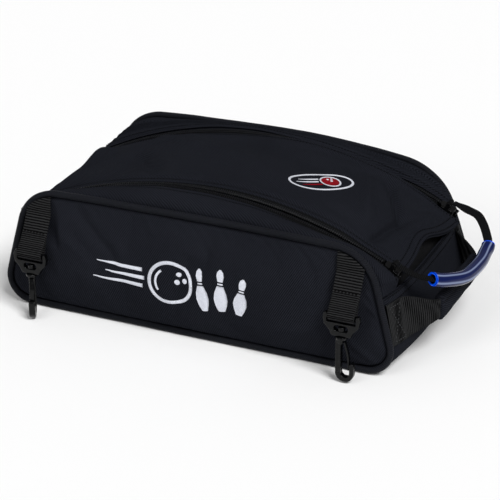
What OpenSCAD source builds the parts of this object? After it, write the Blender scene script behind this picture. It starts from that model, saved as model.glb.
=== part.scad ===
// Soft bowling shoe and accessory bag: a piped loaf of padded fabric whose top lid opens along two
// parallel zips, with one tubed pull for both sliders, a webbing grab handle on the right end and
// two hanging webbing straps with swivel snap hooks on the front.
// Frame: origin at the centre of the base on the ground, +X to the right end, +Y to the rear, +Z up.

/* [Body] */
// Width of the front and rear panels at their widest
bag_w = 380; // [330:1:420]
// Depth from the front piping to the rear piping
bag_d = 206; // [190:1:240]
// Height of the front piping's centre line
front_h = 118; // [108:1:126]
// Height of the rear piping's centre line
rear_h = 127; // [112:1:130]
// Radius of the front panel's top corners
top_r = 42; // [30:1:50]
// Radius of the rear panel's top corners
rear_top_r = 54; // [40:1:60]
// Radius of the rear panel's arched top edge
rear_arch_r = 1200; // [700:50:3000]
// Radius of the front panel's nearly straight top edge
front_arch_r = 6000; // [2000:100:9000]
// Radius of the panels' bottom corners
bottom_r = 22; // [14:1:28]
// How much narrower each side of a panel is at the top
top_inset = 14; // [4:1:20]
// Diameter of the piping cord
piping_d = 6; // [4:0.5:7]
// How far the front and rear panels swell out in the middle
panel_crown = 12; // [4:1:16]
// How far the end panels swell out in the middle
end_bulge = 12; // [4:1:16]
// Thickness of the padded gussets, ends and lid
wall = 3; // [2:0.1:4]
// Thickness of the front and rear cover fabric
cover_t = 1.2; // [0.8:0.1:2]
// Thickness of the foam behind the covers
foam_t = 3.5; // [2:0.5:5]
// Thickness of the stiff board in the base
board_t = 2.5; // [1.5:0.5:4]
// Height of the seam where gussets meet the end panels
seam_z = 72; // [66:1:76]
// Gap left at each sewn seam
seam_gap = 0.2; // [0.1:0.05:0.4]

/* [Zips and lid] */
// Distance between the two zips
zip_spacing = 146; // [120:1:150]
// Height of the zips at the middle of the bag
zip_apex = 132; // [126:1:140]
// Height of the zips at their ends
zip_end_z = 83.5; // [80:0.5:88]
// Half width of the whole zip, fabric edge to middle
zip_half = 10; // [9:0.5:12]
// Width of one half of the coil
coil_w = 3; // [2.4:0.1:3.4]
// Thickness of the coil
coil_t = 3; // [2.4:0.1:3.4]
// Gap between the middle of the zip and each half coil
coil_gap = 1.2; // [1:0.1:1.5]
// Thickness of the zip tape
tape_t = 0.8; // [0.5:0.1:1]
// Crown of the lid between the zips
lid_crown = 4; // [0:0.5:6]
// Length of a slider
slider_l = 15; // [12:0.5:18]
// Running clearance round the coil in a slider
slide_gap = 0.35; // [0.3:0.05:0.5]
// Diameter of a slider's pull pin
pin_d = 2.4; // [2:0.1:3]

/* [Pull] */
// Width of the pull's webbing
pull_w = 8; // [6:0.5:8]
// Thickness of the pull's webbing
pull_t = 1.5; // [1:0.1:2]
// Outside diameter of the clear tube
tube_d = 12.5; // [11:0.5:13]
// Bore of the clear tube
tube_bore = 9; // [8.5:0.1:9.5]

/* [Grab handle] */
// Height of the handle webbing
handle_w = 38; // [30:1:40]
// Thickness of the handle webbing
handle_t = 1.6; // [1.2:0.1:2.5]
// Height of the handle's middle
handle_z = 48; // [44:1:50]
// Stand-off of the loop from the end panel
handle_out = 18; // [14:1:24]
// Height of the webbing where it is folded double inside the grip
grip_w = 19; // [15:1:28]
// Thickness of the folded webbing inside the grip
grip_t = 3.6; // [3:0.1:5]
// Half length of the fabric wrap
wrap_half = 49; // [40:1:56]
// Padding of the wrap over the folded webbing
wrap_pad = 3.4; // [2:0.1:5]

/* [Hook straps] */
// Width of the strap webbing
strap_w = 25.4; // [20:0.1:26]
// Thickness of the strap webbing
strap_t = 1.6; // [1.2:0.1:2]
// Distance of each strap from the middle of the bag
strap_x = 153; // [130:1:156]
// Height of the front piping over the bend below the sewn top of the strap
strap_drop = 21; // [19:1:26]
// How far the hook hangs out in front of the bend
strap_out = 18; // [16:1:24]
// Length of the hook below its collar
hook_l = 40; // [36:1:44]
// Thickness of the hook across its plane
hook_t = 6; // [5:0.5:7]
// Width of the opening inside the hook
hook_eye = 8; // [7:0.5:9]
// Diameter of the swivel post
post_d = 4; // [3:0.5:5]
// Turn of the left hook about its post at rest
left_turn = -65; // [-90:5:90]
// Turn of the right hook about its post at rest
right_turn = 0; // [-90:5:90]

/* [Hidden] */
fabric = "#1b1d22";
webbing = "#202122";
plastic = "#26282b";
foam = "#3c3c40";
metal = "#2b2c2e";
blue = "#2a48c8";
clear_gap = 0.3;            // clearance between pieces that move past each other
piping_r = piping_d / 2;
half_d = bag_d / 2;
sheet_y = half_d - piping_r - seam_gap;      // where gussets and ends stop short of the piping
zip_y = zip_spacing / 2;
fabric_y = zip_y + zip_half;                 // gusset edge along each zip
lid_y = zip_y - zip_half;                    // lid edge along each zip

// Panel outline: a rounded trapezoid, the path of the piping's centre

// A panel is [height, top corner radius, radius of the top edge]
front = [front_h, top_r, front_arch_r];
rear = [rear_h, rear_top_r, rear_arch_r];
function bottom_centre() = [bag_w / 2 - bottom_r, piping_r + bottom_r];
function arch_centre(panel) = [0, panel[0] - panel[2]];
// The top corner's circle touches the top edge's arc from inside
function top_centre(panel) =
    let (x = bag_w / 2 - top_inset - panel[1], r = panel[2] - panel[1])
    arch_centre(panel) + [x, sqrt(r * r - x * x)];
// Direction in which the corner's circle meets the top edge's arc
function top_angle(panel) = let (d = top_centre(panel) - arch_centre(panel)) atan2(d[1], d[0]);
// Direction of the outward normal of the straight side, tangent to both corner circles
function side_angle(panel) =
    let (d = top_centre(panel) - bottom_centre())
    atan2(d[1], d[0]) - acos((bottom_r - panel[1]) / norm(d));
function on_circle(c, r, a) = c + r * [cos(a), sin(a)];
function lerp(a, b, t) = a + (b - a) * t;
function smooth(a, b, x) = let (t = max(0, min(1, (x - a) / (b - a)))) t * t * (3 - 2 * t);
function last(list) = list[len(list) - 1];
function spread(from, to, n) = [for (i = [0:n]) lerp(from, to, i / n)];
function unit(v) = v / norm(v);
// Half width of a panel's straight side at height z
function side_x(panel, z) =
    let (a = side_angle(panel), p = on_circle(bottom_centre(), bottom_r, a))
    p[0] - (z - p[1]) * tan(a);
// Right half of the outline from the bottom middle to the top middle, drawn in by inset
function half_outline(panel, inset = 0) =
    let (
        a = side_angle(panel), e = top_angle(panel), b = bottom_centre(), t = top_centre(panel),
        rb = bottom_r - inset, rt = panel[1] - inset)
    concat(
        [for (i = [0:3]) [b[0] * i / 4, b[1] - rb]],
        [for (i = [0:5]) on_circle(b, rb, lerp(-90, a, i / 5))],
        [for (i = [1:3]) lerp(on_circle(b, rb, a), on_circle(t, rt, a), i / 4)],
        [for (i = [0:7]) on_circle(t, rt, lerp(a, e, i / 7))],
        [for (i = [1:4]) on_circle(arch_centre(panel), panel[2] - inset, lerp(e, 90, i / 5))]);
function mirror_x(points) = [for (i = [len(points) - 1:-1:0]) [-points[i][0], points[i][1]]];
function outline(panel, inset = 0) =
    let (right = half_outline(panel, inset))
    concat(right, [[0, panel[0] - inset]], [for (i = [len(right) - 1:-1:1]) [-right[i][0], right[i][1]]]);
// Height of the outline's top over x
function outline_top(panel, x) =
    let (t = top_centre(panel), dx = abs(x) - t[0], r = panel[1])
    dx > r * cos(top_angle(panel))
        ? t[1] + sqrt(r * r - dx * dx)
        : arch_centre(panel)[1] + sqrt(panel[2] * panel[2] - x * x);

// End panels swell out between the front and rear seams

function swell(y) = 1 - pow(abs(y) / half_d, 3);
function swell_at(z) = end_bulge * sin(90 * min(1, max(0, z - piping_r) / (handle_z - bottom_r / 2)));
function depth_share(y) = (y + half_d) / bag_d;
function end_x(y, z) =
    lerp(side_x(front, z), side_x(rear, z), depth_share(y)) + seam_gap + swell_at(z) * swell(y);
// Points up the right side of an outline, from the base to height top, with their outward normals
function side_points(panel, top) =
    let (a = side_angle(panel), b = bottom_centre(), p = on_circle(b, bottom_r, a), q = [side_x(panel, top), top])
    concat(
        [for (i = [0:5]) let (u = lerp(-90, a, i / 5)) [on_circle(b, bottom_r, u), [cos(u), sin(u)]]],
        [for (i = [1:5]) [lerp(p, q, i / 5), [cos(a), sin(a)]]]);

// Zip arc: a circle through the zips' ends and apex, about an axis along Y

zip_end_x = bag_w / 2 - piping_r - 2 * seam_gap;
zip_rise = zip_apex - zip_end_z;
zip_r = (zip_end_x * zip_end_x + zip_rise * zip_rise) / (2 * zip_rise);
zip_axis_z = zip_apex - zip_r;
zip_start = acos(zip_end_x / zip_r);                   // angle of the right end, from +X
zip_stop = 180 - zip_start;
slider_half = slider_l / 2 / zip_r * 180 / PI;         // half a slider, as an angle
stop_span = 2 / zip_r * 180 / PI;                      // an end stop, as an angle
slider_at = zip_start + stop_span * 1.4 + slider_half;   // where the sliders rest
lid_zip_start = slider_at + slider_half + stop_span * 0.9;   // the lid's coils start beside the sliders
function arc_z(x) = zip_axis_z + sqrt(zip_r * zip_r - x * x);
coil_out = coil_gap + coil_w;                          // outer edge of a half coil from the zip's middle
plate_z = coil_t / 2 + slide_gap;                      // inner face of a slider's plates
plate_t = 1.4;
slider_w = coil_out + slide_gap + 1.2;                 // half width of a slider
pin_z = plate_z + plate_t + pull_t + pin_d / 2 + 1;    // height of the pull pin over the zip
pin_at = [(zip_r + pin_z) * cos(slider_at), zip_axis_z + (zip_r + pin_z) * sin(slider_at)];

// Frame on the zip's arc: X along it to the right, Z outwards
module at_arc(angle, y)
    translate([0, 0, zip_axis_z]) rotate([0, 90 - angle, 0]) translate([0, y, zip_r]) children();
// Sweeps a profile of [radius, y] about the zips' axis between two angles
module arc_band(from, to)
    translate([0, 0, zip_axis_z]) rotate([90, 0, 0]) rotate([0, 0, from])
        rotate_extrude(angle = to - from, $fn = 240) children();

// Closed meshes from rings and grids of points

function tri_volume(p, t) = cross(p[t[0]], p[t[1]]) * p[t[2]];
function total(list, i = 0, sum = 0) = i == len(list) ? sum : total(list, i + 1, sum + list[i]);
module mesh(points, triangles) {
    volume = total([for (t = triangles) tri_volume(points, t)]);
    polyhedron(points, volume > 0 ? [for (t = triangles) [t[0], t[2], t[1]]] : triangles);
}
function quad(a, b, c, d) = [[a, b, c], [a, c, d]];
function flat(list) = [for (part = list) each part];
function ring_walls(rings, n, first = 0) =
    flat([for (r = [0:rings - 2], i = [0:n - 1])
        let (a = first + r * n + i, b = first + r * n + (i + 1) % n) quad(a, b, b + n, a + n)]);
function fan(n, first) = [for (i = [1:n - 2]) [first, first + i, first + i + 1]];
function reversed(triangles) = [for (t = triangles) [t[0], t[2], t[1]]];
// A solid through a list of rings, capped at both ends
module loft(rings) {
    n = len(rings[0]);
    mesh(flat(rings), concat(ring_walls(len(rings), n), reversed(fan(n, 0)), fan(n, (len(rings) - 1) * n)));
}
// A solid through rings that close on themselves
module loop_loft(rings) {
    n = len(rings[0]);
    mesh(flat(rings), flat([for (r = [0:len(rings) - 1], i = [0:n - 1])
        let (next = (r + 1) % len(rings), a = r * n + i, b = r * n + (i + 1) % n)
        quad(a, b, next * n + (i + 1) % n, next * n + i)]));
}
// A hollow solid between outer and inner rings
module tube_loft(outer, inner) {
    n = len(outer[0]);
    m = len(outer);
    k = n * m;
    ends = flat([for (i = [0:n - 1], e = [0, 1])
        let (j = (i + 1) % n, s = e * (m - 1) * n, q = quad(s + i, s + j, k + s + j, k + s + i))
        e == 0 ? reversed(q) : q]);
    mesh(concat(flat(outer), flat(inner)), concat(ring_walls(m, n), reversed(ring_walls(m, n, k)), ends));
}
// Unit normals of a grid of points
function grid_normals(g) = [for (i = [0:len(g) - 1]) [for (j = [0:len(g[0]) - 1])
    unit(cross(g[min(i + 1, len(g) - 1)][j] - g[max(i - 1, 0)][j],
        g[i][min(j + 1, len(g[0]) - 1)] - g[i][max(j - 1, 0)]))]];
// A point whose distance from the middle plane y = 0 is kept inside a band
function in_band(p, band) = [p[0], sign(p[1]) * max(band[0], min(band[1], abs(p[1]))), p[2]];
// A sheet of thickness t under a grid of points; side is the sign of the way in
module sheet(grid, t, side, band = [0, bag_d]) {
    n = len(grid);
    m = len(grid[0]);
    normals = grid_normals(grid);
    inner = [for (i = [0:n - 1]) [for (j = [0:m - 1]) in_band(grid[i][j] + side * t * normals[i][j], band)]];
    k = n * m;
    rim = concat([for (j = [0:m - 1]) j], [for (i = [1:n - 1]) i * m + m - 1],
        [for (j = [m - 2:-1:0]) (n - 1) * m + j], [for (i = [n - 2:-1:1]) i * m]);
    top = flat([for (i = [0:n - 2], j = [0:m - 2])
        quad(i * m + j, (i + 1) * m + j, (i + 1) * m + j + 1, i * m + j + 1)]);
    walls = flat([for (i = [0:len(rim) - 1])
        let (a = rim[i], b = rim[(i + 1) % len(rim)]) quad(a, b, b + k, a + k)]);
    mesh(concat(flat(grid), flat(inner)),
        concat(top, [for (t = reversed(top)) t + [k, k, k]], walls));
}

// Front and rear panels, their foam and piping

centre_z = front_h / 2;
rings = 4;
// A crowned sheet over an outline: rings of the outline shrink to the middle as they rise
module crowned_sheet(panel, inset, lift, t, side) {
    edge = outline(panel, inset);
    n = len(edge);
    function ring(share, y) = [for (p = edge)
        [p[0] * share, side * (y + panel_crown * (1 - share * share)), lerp(centre_z, p[1], share)]];
    function face(y) = concat(flat([for (r = [0:rings - 1]) ring(1 - r / rings, y)]),
        [[0, side * (y + panel_crown), centre_z]]);
    k = rings * n + 1;
    top = concat(ring_walls(rings, n),
        [for (i = [0:n - 1]) [(rings - 1) * n + i, (rings - 1) * n + (i + 1) % n, k - 1]]);
    rim = flat([for (i = [0:n - 1]) quad(i, k + i, k + (i + 1) % n, (i + 1) % n)]);
    mesh(concat(face(lift), face(lift - t)), concat(top, [for (t = reversed(top)) t + [k, k, k]], rim));
}
module panel_cover(panel, side) color(fabric)
    crowned_sheet(panel, piping_r + seam_gap, half_d + cover_t / 2, cover_t, side);
module panel_foam(panel, side) color(foam)
    crowned_sheet(panel, piping_r + seam_gap + wall, half_d - cover_t / 2 - seam_gap, foam_t, side);
module piping(panel, side) color(fabric) {
    path = outline(panel);
    n = len(path);
    loop_loft([for (i = [0:n - 1])
        let (along = unit(path[(i + 1) % n] - path[(i + n - 1) % n]), out = [along[1], -along[0]])
        [for (a = [0:45:315]) let (p = path[i] + out * piping_r * cos(a))
            [p[0], side * half_d + piping_r * sin(a), p[1]]]]);
}

// Base and ends

module base_panel() color(fabric) {
    base_w = 2 * (bottom_centre()[0] - seam_gap - wall / 4);
    translate([-base_w / 2, -sheet_y, 0]) cube([base_w, 2 * sheet_y, wall]);
}
module base_board() color("#4a4038") {
    corner = bottom_r;
    w = bottom_centre()[0] - wall - corner;
    d = sheet_y - foam_t - 2 * wall - corner;
    translate([0, 0, wall + seam_gap]) linear_extrude(board_t) polygon(
        [for (q = [0:3], i = [0:4]) let (a = 90 * q + 22.5 * i)
            [(q == 0 || q == 3 ? w : -w) + corner * cos(a), (q < 2 ? d : -d) + corner * sin(a)]]);
}
end_steps = 10;
front_side = side_points(front, seam_z);
rear_side = side_points(rear, seam_z);
// Point i up the right end panel's outer face at y, as [x, z]
function end_point(y, i) =
    let (
        p = lerp(front_side[i][0], rear_side[i][0], depth_share(y)),
        n = lerp(front_side[i][1], rear_side[i][1], depth_share(y)))
    p + n * (piping_r * max(0, -n[1]) + seam_gap * (1 + min(0, n[1])) + swell_at(p[1]) * swell(y));
function end_grid(hand) = [for (y = spread(-sheet_y, sheet_y, end_steps))
    [for (i = [0:len(front_side) - 1]) let (p = end_point(y, i)) [hand * p[0], y, p[1]]]];
module end_panel(hand) color(fabric) sheet(end_grid(hand), wall, -hand);
// The lid's sewn-down left end: it follows the lid's curve for a knee's length, then drops to the end panel
knee = 2.5;
hinge_gap = 0.5;
function hinge_row(y) =
    let (
        r = lid_r(min(abs(y), lid_y)),
        out = [cos(zip_start), sin(zip_start)],
        down = [sin(zip_start), -cos(zip_start)],
        head = [0, zip_axis_z] + r * out + down * hinge_gap,
        bend = head + down * knee,
        foot = end_point(y, len(front_side) - 1) + [0, seam_gap + 0.1])
    [for (p = [foot, lerp(foot, bend, 0.5), bend, head]) [-p[0], y, p[1]]];
module hinge_strip() color(fabric)
    sheet([for (y = spread(seam_gap - fabric_y, fabric_y - seam_gap, 10)) hinge_row(y)], wall, 1);

// Gussets: ruled from the piping's outline to the zip's arc, swelling a little between

gusset_swell = 4;
function seam_side(panel) =
    let (
        a = side_angle(panel), e = top_angle(panel), t = top_centre(panel),
        low = [side_x(panel, seam_z + seam_gap), seam_z + seam_gap],
        first = on_circle(t, panel[1], a))
    concat([low, lerp(low, first, 0.5)],
        [for (i = [0:7]) on_circle(t, panel[1], lerp(a, e, i / 7))],
        [for (i = [1:5]) on_circle(arch_centre(panel), panel[2], lerp(e, 90, i / 5))]);
function seam_line(panel) =
    let (right = seam_side(panel))
    concat(right, [for (i = [len(right) - 2:-1:0]) [-right[i][0], right[i][1]]]);
// Where a seam point is carried to on the zip's edge
function zip_edge(p, reach) =
    let (x = p[0] * (zip_end_x / reach), share = smooth(seam_z, zip_end_z, p[1]))
    abs(x) > zip_end_x
        ? [sign(x) * lerp(zip_end_x - 1, zip_end_x, share), lerp(seam_z + seam_gap, zip_end_z, share)]
        : [x, arc_z(x) + coil_t / 3];
gusset_band = [fabric_y + seam_gap, sheet_y];
function gusset_grid(panel, side) =
    let (seam = seam_line(panel), reach = seam[2][0])
    [for (p = seam) let (q = zip_edge(p, reach + 0.001)) [for (v = [0:5]) let (
        s = v / 5,
        y = side * lerp(gusset_band[1], gusset_band[0], s),
        foot = end_point(y, len(front_side) - 1) + [0, seam_gap + 0.1],
        m = p[1] > seam_z + 2 * seam_gap ? lerp(p, q, s) : [sign(p[0]) * foot[0], foot[1]],
        way = unit([m[0] * 0.6, max(0, m[1] - seam_z)] + [0.001, 0.001]),
        out = way * gusset_swell * 4 * s * (1 - s) * smooth(seam_z, seam_z + 20, p[1]))
        [m[0] + out[0], y, m[1] + out[1]]]];
module gusset(panel, side) color(fabric) sheet(gusset_grid(panel, side), wall, -side, gusset_band);

// Zips: tapes and half coils along the arc; hand is -1 towards the lid, +1 towards the gusset

module tape(side, hand, from) color(fabric)
    arc_band(from, zip_stop) tape_profile(side, hand);
module tape_profile(side, hand) {
    near = zip_y + hand * coil_out;
    far = zip_y + hand * (zip_half - (hand < 0 ? seam_gap : 0));
    translate([zip_r - tape_t / 2, min(-side * near, -side * far)]) square([tape_t, abs(far - near)]);
}
module coil(side, hand, from, to) color(webbing)
    arc_band(from, to) translate([zip_r, -side * (zip_y + hand * (coil_gap + coil_w / 2))]) coil_profile();
module coil_profile() {
    bevel = coil_t / 4;
    polygon([for (sx = [1, -1], sy = [1, -1], k = [0, 1])
        let (first = (sx * sy > 0) == (k == 0))
        [sx * (coil_t / 2 - (first ? 0 : bevel)),
            (sx * sy > 0 ? sx : -sx) * (coil_w / 2 - (first ? bevel : 0))]]);
}
module zip_stops() color(metal)
    for (side = [-1, 1], end = [0, 1])
        at_arc(end == 0 ? zip_start + stop_span / 2 : zip_stop - stop_span / 2,
            side * (zip_y + coil_gap + coil_w / 2))
            translate([-0.8, -coil_w / 2, -coil_t / 2]) cube([1.6, coil_w, coil_t]);

// Lid: a padded band on the zip's arc

function lid_r(y) = zip_r + coil_t / 3 + lid_crown * (1 - pow(y / lid_y, 2));
module lid_panel() color(fabric) {
    steps = 12;
    edge = lid_y - seam_gap;
    ys = spread(-edge, edge, steps);
    arc_band(zip_start, zip_stop) polygon(concat([for (y = ys) [lid_r(y), y]],
        [for (i = [steps:-1:0]) [lid_r(ys[i]) - wall, ys[i]]]));
}

// Sliders: two flanged plates round the coils, a wedge between them and two lugs with the pull pin

module slider(side) color(metal) at_arc(slider_at, side * zip_y) {
    for (up = [-1, 1]) {
        translate([0, 0, up > 0 ? plate_z : -plate_z - plate_t]) linear_extrude(plate_t) slider_outline();
        for (hand = [-1, 1])
            translate([-slider_l / 2 + 2, hand > 0 ? slider_w - 1.2 : -slider_w,
                up > 0 ? tape_t / 2 + slide_gap : -plate_z - 0.01])
                cube([slider_l - 4, 1.2, plate_z - tape_t / 2 - slide_gap + 0.01]);
    }
    translate([slider_l / 2 - 4, -(coil_gap - slide_gap), -plate_z - 0.01])
        cube([3.6, 2 * (coil_gap - slide_gap), 2 * plate_z + 0.02]);
    for (hand = [-1, 1])
        translate([0, hand > 0 ? pull_w / 2 + clear_gap : -slider_w, 0])
            lug(slider_w - pull_w / 2 - clear_gap);
    translate([0, slider_w, pin_z]) rotate([90, 0, 0]) cylinder(d = pin_d, h = 2 * slider_w, $fn = 32);
}
module slider_outline() {
    tail = slider_w - 0.9;
    polygon([[-slider_l / 2, tail - 1.5], [-slider_l / 2 + 1.5, tail], [0, slider_w],
        [slider_l / 2 - 1.5, slider_w], [slider_l / 2, slider_w - 1.5], [slider_l / 2, 1.5 - slider_w],
        [slider_l / 2 - 1.5, -slider_w], [0, -slider_w], [-slider_l / 2 + 1.5, -tail],
        [-slider_l / 2, 1.5 - tail]]);
}
module lug(t) {
    lug_w = pin_d + 1.6;
    translate([-lug_w / 2, 0, plate_z + plate_t - 0.01]) cube([lug_w, t, pin_z - plate_z - plate_t + 0.01]);
    translate([0, t, pin_z]) rotate([90, 0, 0]) cylinder(d = lug_w, h = t, $fn = 32);
}

// Pull: webbing from pin to pin through a clear tube; points are [reach from the pins, share of the half
// spacing, height over the pins]

pull_route = [[3.4, -1, -0.7], [10, -0.99, -4.5], [21, -0.955, -9], [31.7, -0.89, -11.5],
    [40.5, -0.75, -15.2], [49.1, -0.38, -21.9], [50.6, 0.1, -24.4], [48.5, 0.42, -24.2], [47.8, 0.58, -20.3],
    [41.9, 0.71, -12.4], [36, 0.8, -6.6], [29.5, 0.87, -2.8], [19, 0.94, -1.8], [10, 0.99, -0.6], [3.4, 1, 0.9]];
tube_first = 3;
tube_last = 8;
steps_each = 4;
pull_points = [for (p = pull_route) [pin_at[0] + p[0], p[1] * zip_y, pin_at[1] + p[2]]];
function spline(p, i, t) =
    let (a = p[max(i - 1, 0)], b = p[i], c = p[min(i + 1, len(p) - 1)], d = p[min(i + 2, len(p) - 1)])
    0.5 * (2 * b + (c - a) * t + (2 * a - 5 * b + 4 * c - d) * t * t + (3 * b - a - 3 * c + d) * t * t * t);
function spline_points(p, from, to, n) =
    concat([for (i = [from:to - 1], k = [0:n - 1]) spline(p, i, k / n)], [p[to]]);
function tangent(p, i) = unit(p[min(i + 1, len(p) - 1)] - p[max(i - 1, 0)]);
// Width direction of the pull's webbing: along the pins at the ends, upright in the tube
function pull_width(p, i) =
    let (
        t = i / (len(p) - 1),
        upright = smooth(0.05, 0.28, t) * (1 - smooth(0.7, 0.92, t)),
        want = lerp([0, 1, 0], [0, 0, 1], upright),
        along = tangent(p, i))
    unit(want - along * (want * along));
module pull_webbing() color(webbing) {
    path = spline_points(pull_points, 0, len(pull_points) - 1, steps_each);
    loft([for (i = [0:len(path) - 1])
        let (
            way = pull_width(path, i),
            w = way * pull_w / 2,
            n = cross(tangent(path, i), way) * pull_t / 2)
        [path[i] + w + n, path[i] - w + n, path[i] - w - n, path[i] + w - n]]);
}
// Circles of radius r across a path
function tube_rings(path, r) = [for (i = [0:len(path) - 1])
    let (along = tangent(path, i), up = unit([0, 0, 1] - along * along[2]), out = cross(along, up))
    [for (a = [0:30:330]) path[i] + r * (up * cos(a) + out * sin(a))]];
module pull_tube() color(blue, 0.6) {
    path = spline_points(pull_points, tube_first, tube_last, 5);
    tube_loft(tube_rings(path, tube_d / 2), tube_rings(path, tube_bore / 2));
}
module pull_end_loops() color(webbing)
    for (side = [-1, 1]) translate([pin_at[0], side * zip_y + pull_w / 2, pin_at[1]]) rotate([90, 0, 0])
        difference() {
            cylinder(r = pin_d / 2 + 0.1 + pull_t, h = pull_w, $fn = 48);
            translate([0, 0, -1]) cylinder(r = pin_d / 2 + 0.1, h = pull_w + 2, $fn = 48);
        }

// Grab handle: webbing sewn flat to the right end panel at both ends, standing off in the middle. The
// sewn ends stay on the bag, the padded grip swings and a bend of webbing joins each end to the grip

anchor_y = 80;
loop_y = wrap_half - 1;
handle_off = handle_t / 2 + 2 * seam_gap;
function handle_x(y) =
    lerp(end_x(0, handle_z) + handle_out, end_x(y, handle_z) + handle_off, smooth(loop_y, anchor_y, abs(y)));
function handle_lean(y) = smooth(loop_y, anchor_y, abs(y))
    * atan2(end_x(y, handle_z - handle_w / 2) - end_x(y, handle_z + handle_w / 2), handle_w);
// Half thickness and half height of the webbing at y: folded double in the grip, flat at the sewn ends
function web_t(y) = lerp(grip_t, handle_t, smooth(loop_y, anchor_y, abs(y))) / 2;
function web_w(y) = lerp(grip_w, handle_w, smooth(loop_y, anchor_y, abs(y))) / 2;
// Section of the handle at y: half thickness t, half width w, corners cut by chamfer
function handle_ring(y, t, w, chamfer) =
    let (
        c = [handle_x(y), y, handle_z],
        along = unit([handle_x(y + 0.5) - handle_x(y - 0.5), 1, 0]),
        out = [along[1], -along[0], 0],
        up = [0, 0, 1] * cos(handle_lean(y)) - out * sin(handle_lean(y)),
        corners = [[t - chamfer, w], [-t + chamfer, w], [-t, w - chamfer], [-t, -w + chamfer],
            [-t + chamfer, -w], [t - chamfer, -w], [t, -w + chamfer], [t, w - chamfer]])
    [for (k = corners) c + out * k[0] + up * k[1]];
module handle_web(from, to, n) color(webbing)
    loft([for (y = spread(from, to, n)) handle_ring(y, web_t(y), web_w(y), handle_t / 5)]);
module handle_anchor(side) handle_web(side * (sheet_y - 1), side * (anchor_y + clear_gap), 6);
module handle_bend(side) handle_web(side * anchor_y, side * (wrap_half + clear_gap), 10);
module handle_wrap() color(fabric) {
    ys = spread(-wrap_half, wrap_half, 12);
    tube_loft([for (y = ys) handle_ring(y, web_t(y) + wrap_pad, web_w(y) + wrap_pad * 0.8, wrap_pad)],
        [for (y = ys) handle_ring(y, web_t(y) + seam_gap, web_w(y) + seam_gap, handle_t / 5)]);
}

// Hook straps: sewn into the front piping, bent below it, looped round the swivel's bar

collar_h = 2.6;
collar_r = 5.2;
swivel_bar_t = 4.5;
window_h = 5.8;
web_t = 2;
bar_r = 2.4;
slot_h = bar_r + strap_t + 2 * clear_gap + 1.6;
foot_clear = 1;
strap_bend_z = front_h - strap_drop;
bend_y = -half_d - cover_t / 2 - panel_crown / 4 - clear_gap - strap_t / 2;
hook_y = bend_y - strap_out;
collar_z = foot_clear + hook_l;
swivel_z = collar_z + collar_h + clear_gap;
bar_z = swivel_z + swivel_bar_t + window_h + web_t + slot_h;

module strap_root(hand) color(webbing) {
    low = strap_bend_z + strap_t;
    translate([0, bend_y + strap_t / 2, 0]) rotate([90, 0, 0]) linear_extrude(strap_t) polygon(concat(
        [[hand * (strap_x - strap_w / 2), low], [hand * (strap_x + strap_w / 2), low]],
        [for (i = [0:6]) let (x = strap_x + strap_w * (0.5 - i / 6))
            [hand * x, outline_top(front, x) - piping_r - seam_gap]]));
}
// Side view of the strap: a flat tail from the bend to the stitch line, then a loop round the bar
module strap_profile() {
    drop = [hook_y - bend_y, bar_z - strap_bend_z];
    length = norm(drop);
    stitch = length * 0.58;
    inner = bar_r + clear_gap;
    function drop_shape(r, tip) = let (a = acos(r / tip))
        concat([[tip, 0]], [for (i = [0:18]) let (u = lerp(a, 360 - a, i / 18)) r * [cos(u), sin(u)]]);
    translate([hook_y, bar_z]) rotate(atan2(-drop[1], -drop[0])) {
        difference() {
            polygon(drop_shape(inner + strap_t, stitch + 2 * strap_t));
            polygon(drop_shape(inner, stitch));
        }
        translate([stitch + 0.4, -strap_t / 2]) square([length - stitch - 0.4, strap_t]);
    }
}
module strap(hand) color(webbing)
    translate([hand * strap_x + strap_w / 2, 0, 0]) rotate([90, 0, -90]) mirror([1, 0, 0])
        linear_extrude(strap_w) strap_profile();
// Swivel loop: a bar for the webbing between two ears, and a window for the head of the hook's post
module swivel_loop(hand) color(plastic) translate([hand * strap_x, hook_y, 0]) {
    ear = strap_w / 2 + 0.7;
    ear_w = 3.6;
    thick = 5;
    mid_z = swivel_z + swivel_bar_t;
    foot_w = collar_r + 3.5;
    difference() {
        translate([0, thick / 2, 0]) rotate([90, 0, 0]) linear_extrude(thick) difference() {
            polygon([[-foot_w, swivel_z], [foot_w, swivel_z], [foot_w + 2, mid_z],
                [ear + ear_w - 1, mid_z + window_h], [ear + ear_w, bar_z - bar_r],
                [ear + ear_w - 1, bar_z + bar_r], [ear, bar_z + bar_r], [ear, bar_z - slot_h],
                [-ear, bar_z - slot_h], [-ear, bar_z + bar_r], [-ear - ear_w + 1, bar_z + bar_r],
                [-ear - ear_w, bar_z - bar_r], [-ear - ear_w + 1, mid_z + window_h], [-foot_w - 2, mid_z]]);
            translate([0, mid_z + window_h / 2]) {
                square([window_h + 1.6, window_h], center = true);
                for (s = [-1, 1]) translate([s * (window_h / 2 + 0.8), 0]) circle(d = window_h, $fn = 32);
            }
        }
        translate([0, 0, swivel_z - 1]) cylinder(d = post_d + 0.15, h = swivel_bar_t + 2, $fn = 48);
    }
    translate([-ear - 1, 0, bar_z]) rotate([0, 90, 0]) cylinder(r = bar_r, h = 2 * ear + 2, $fn = 48);
}
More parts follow.
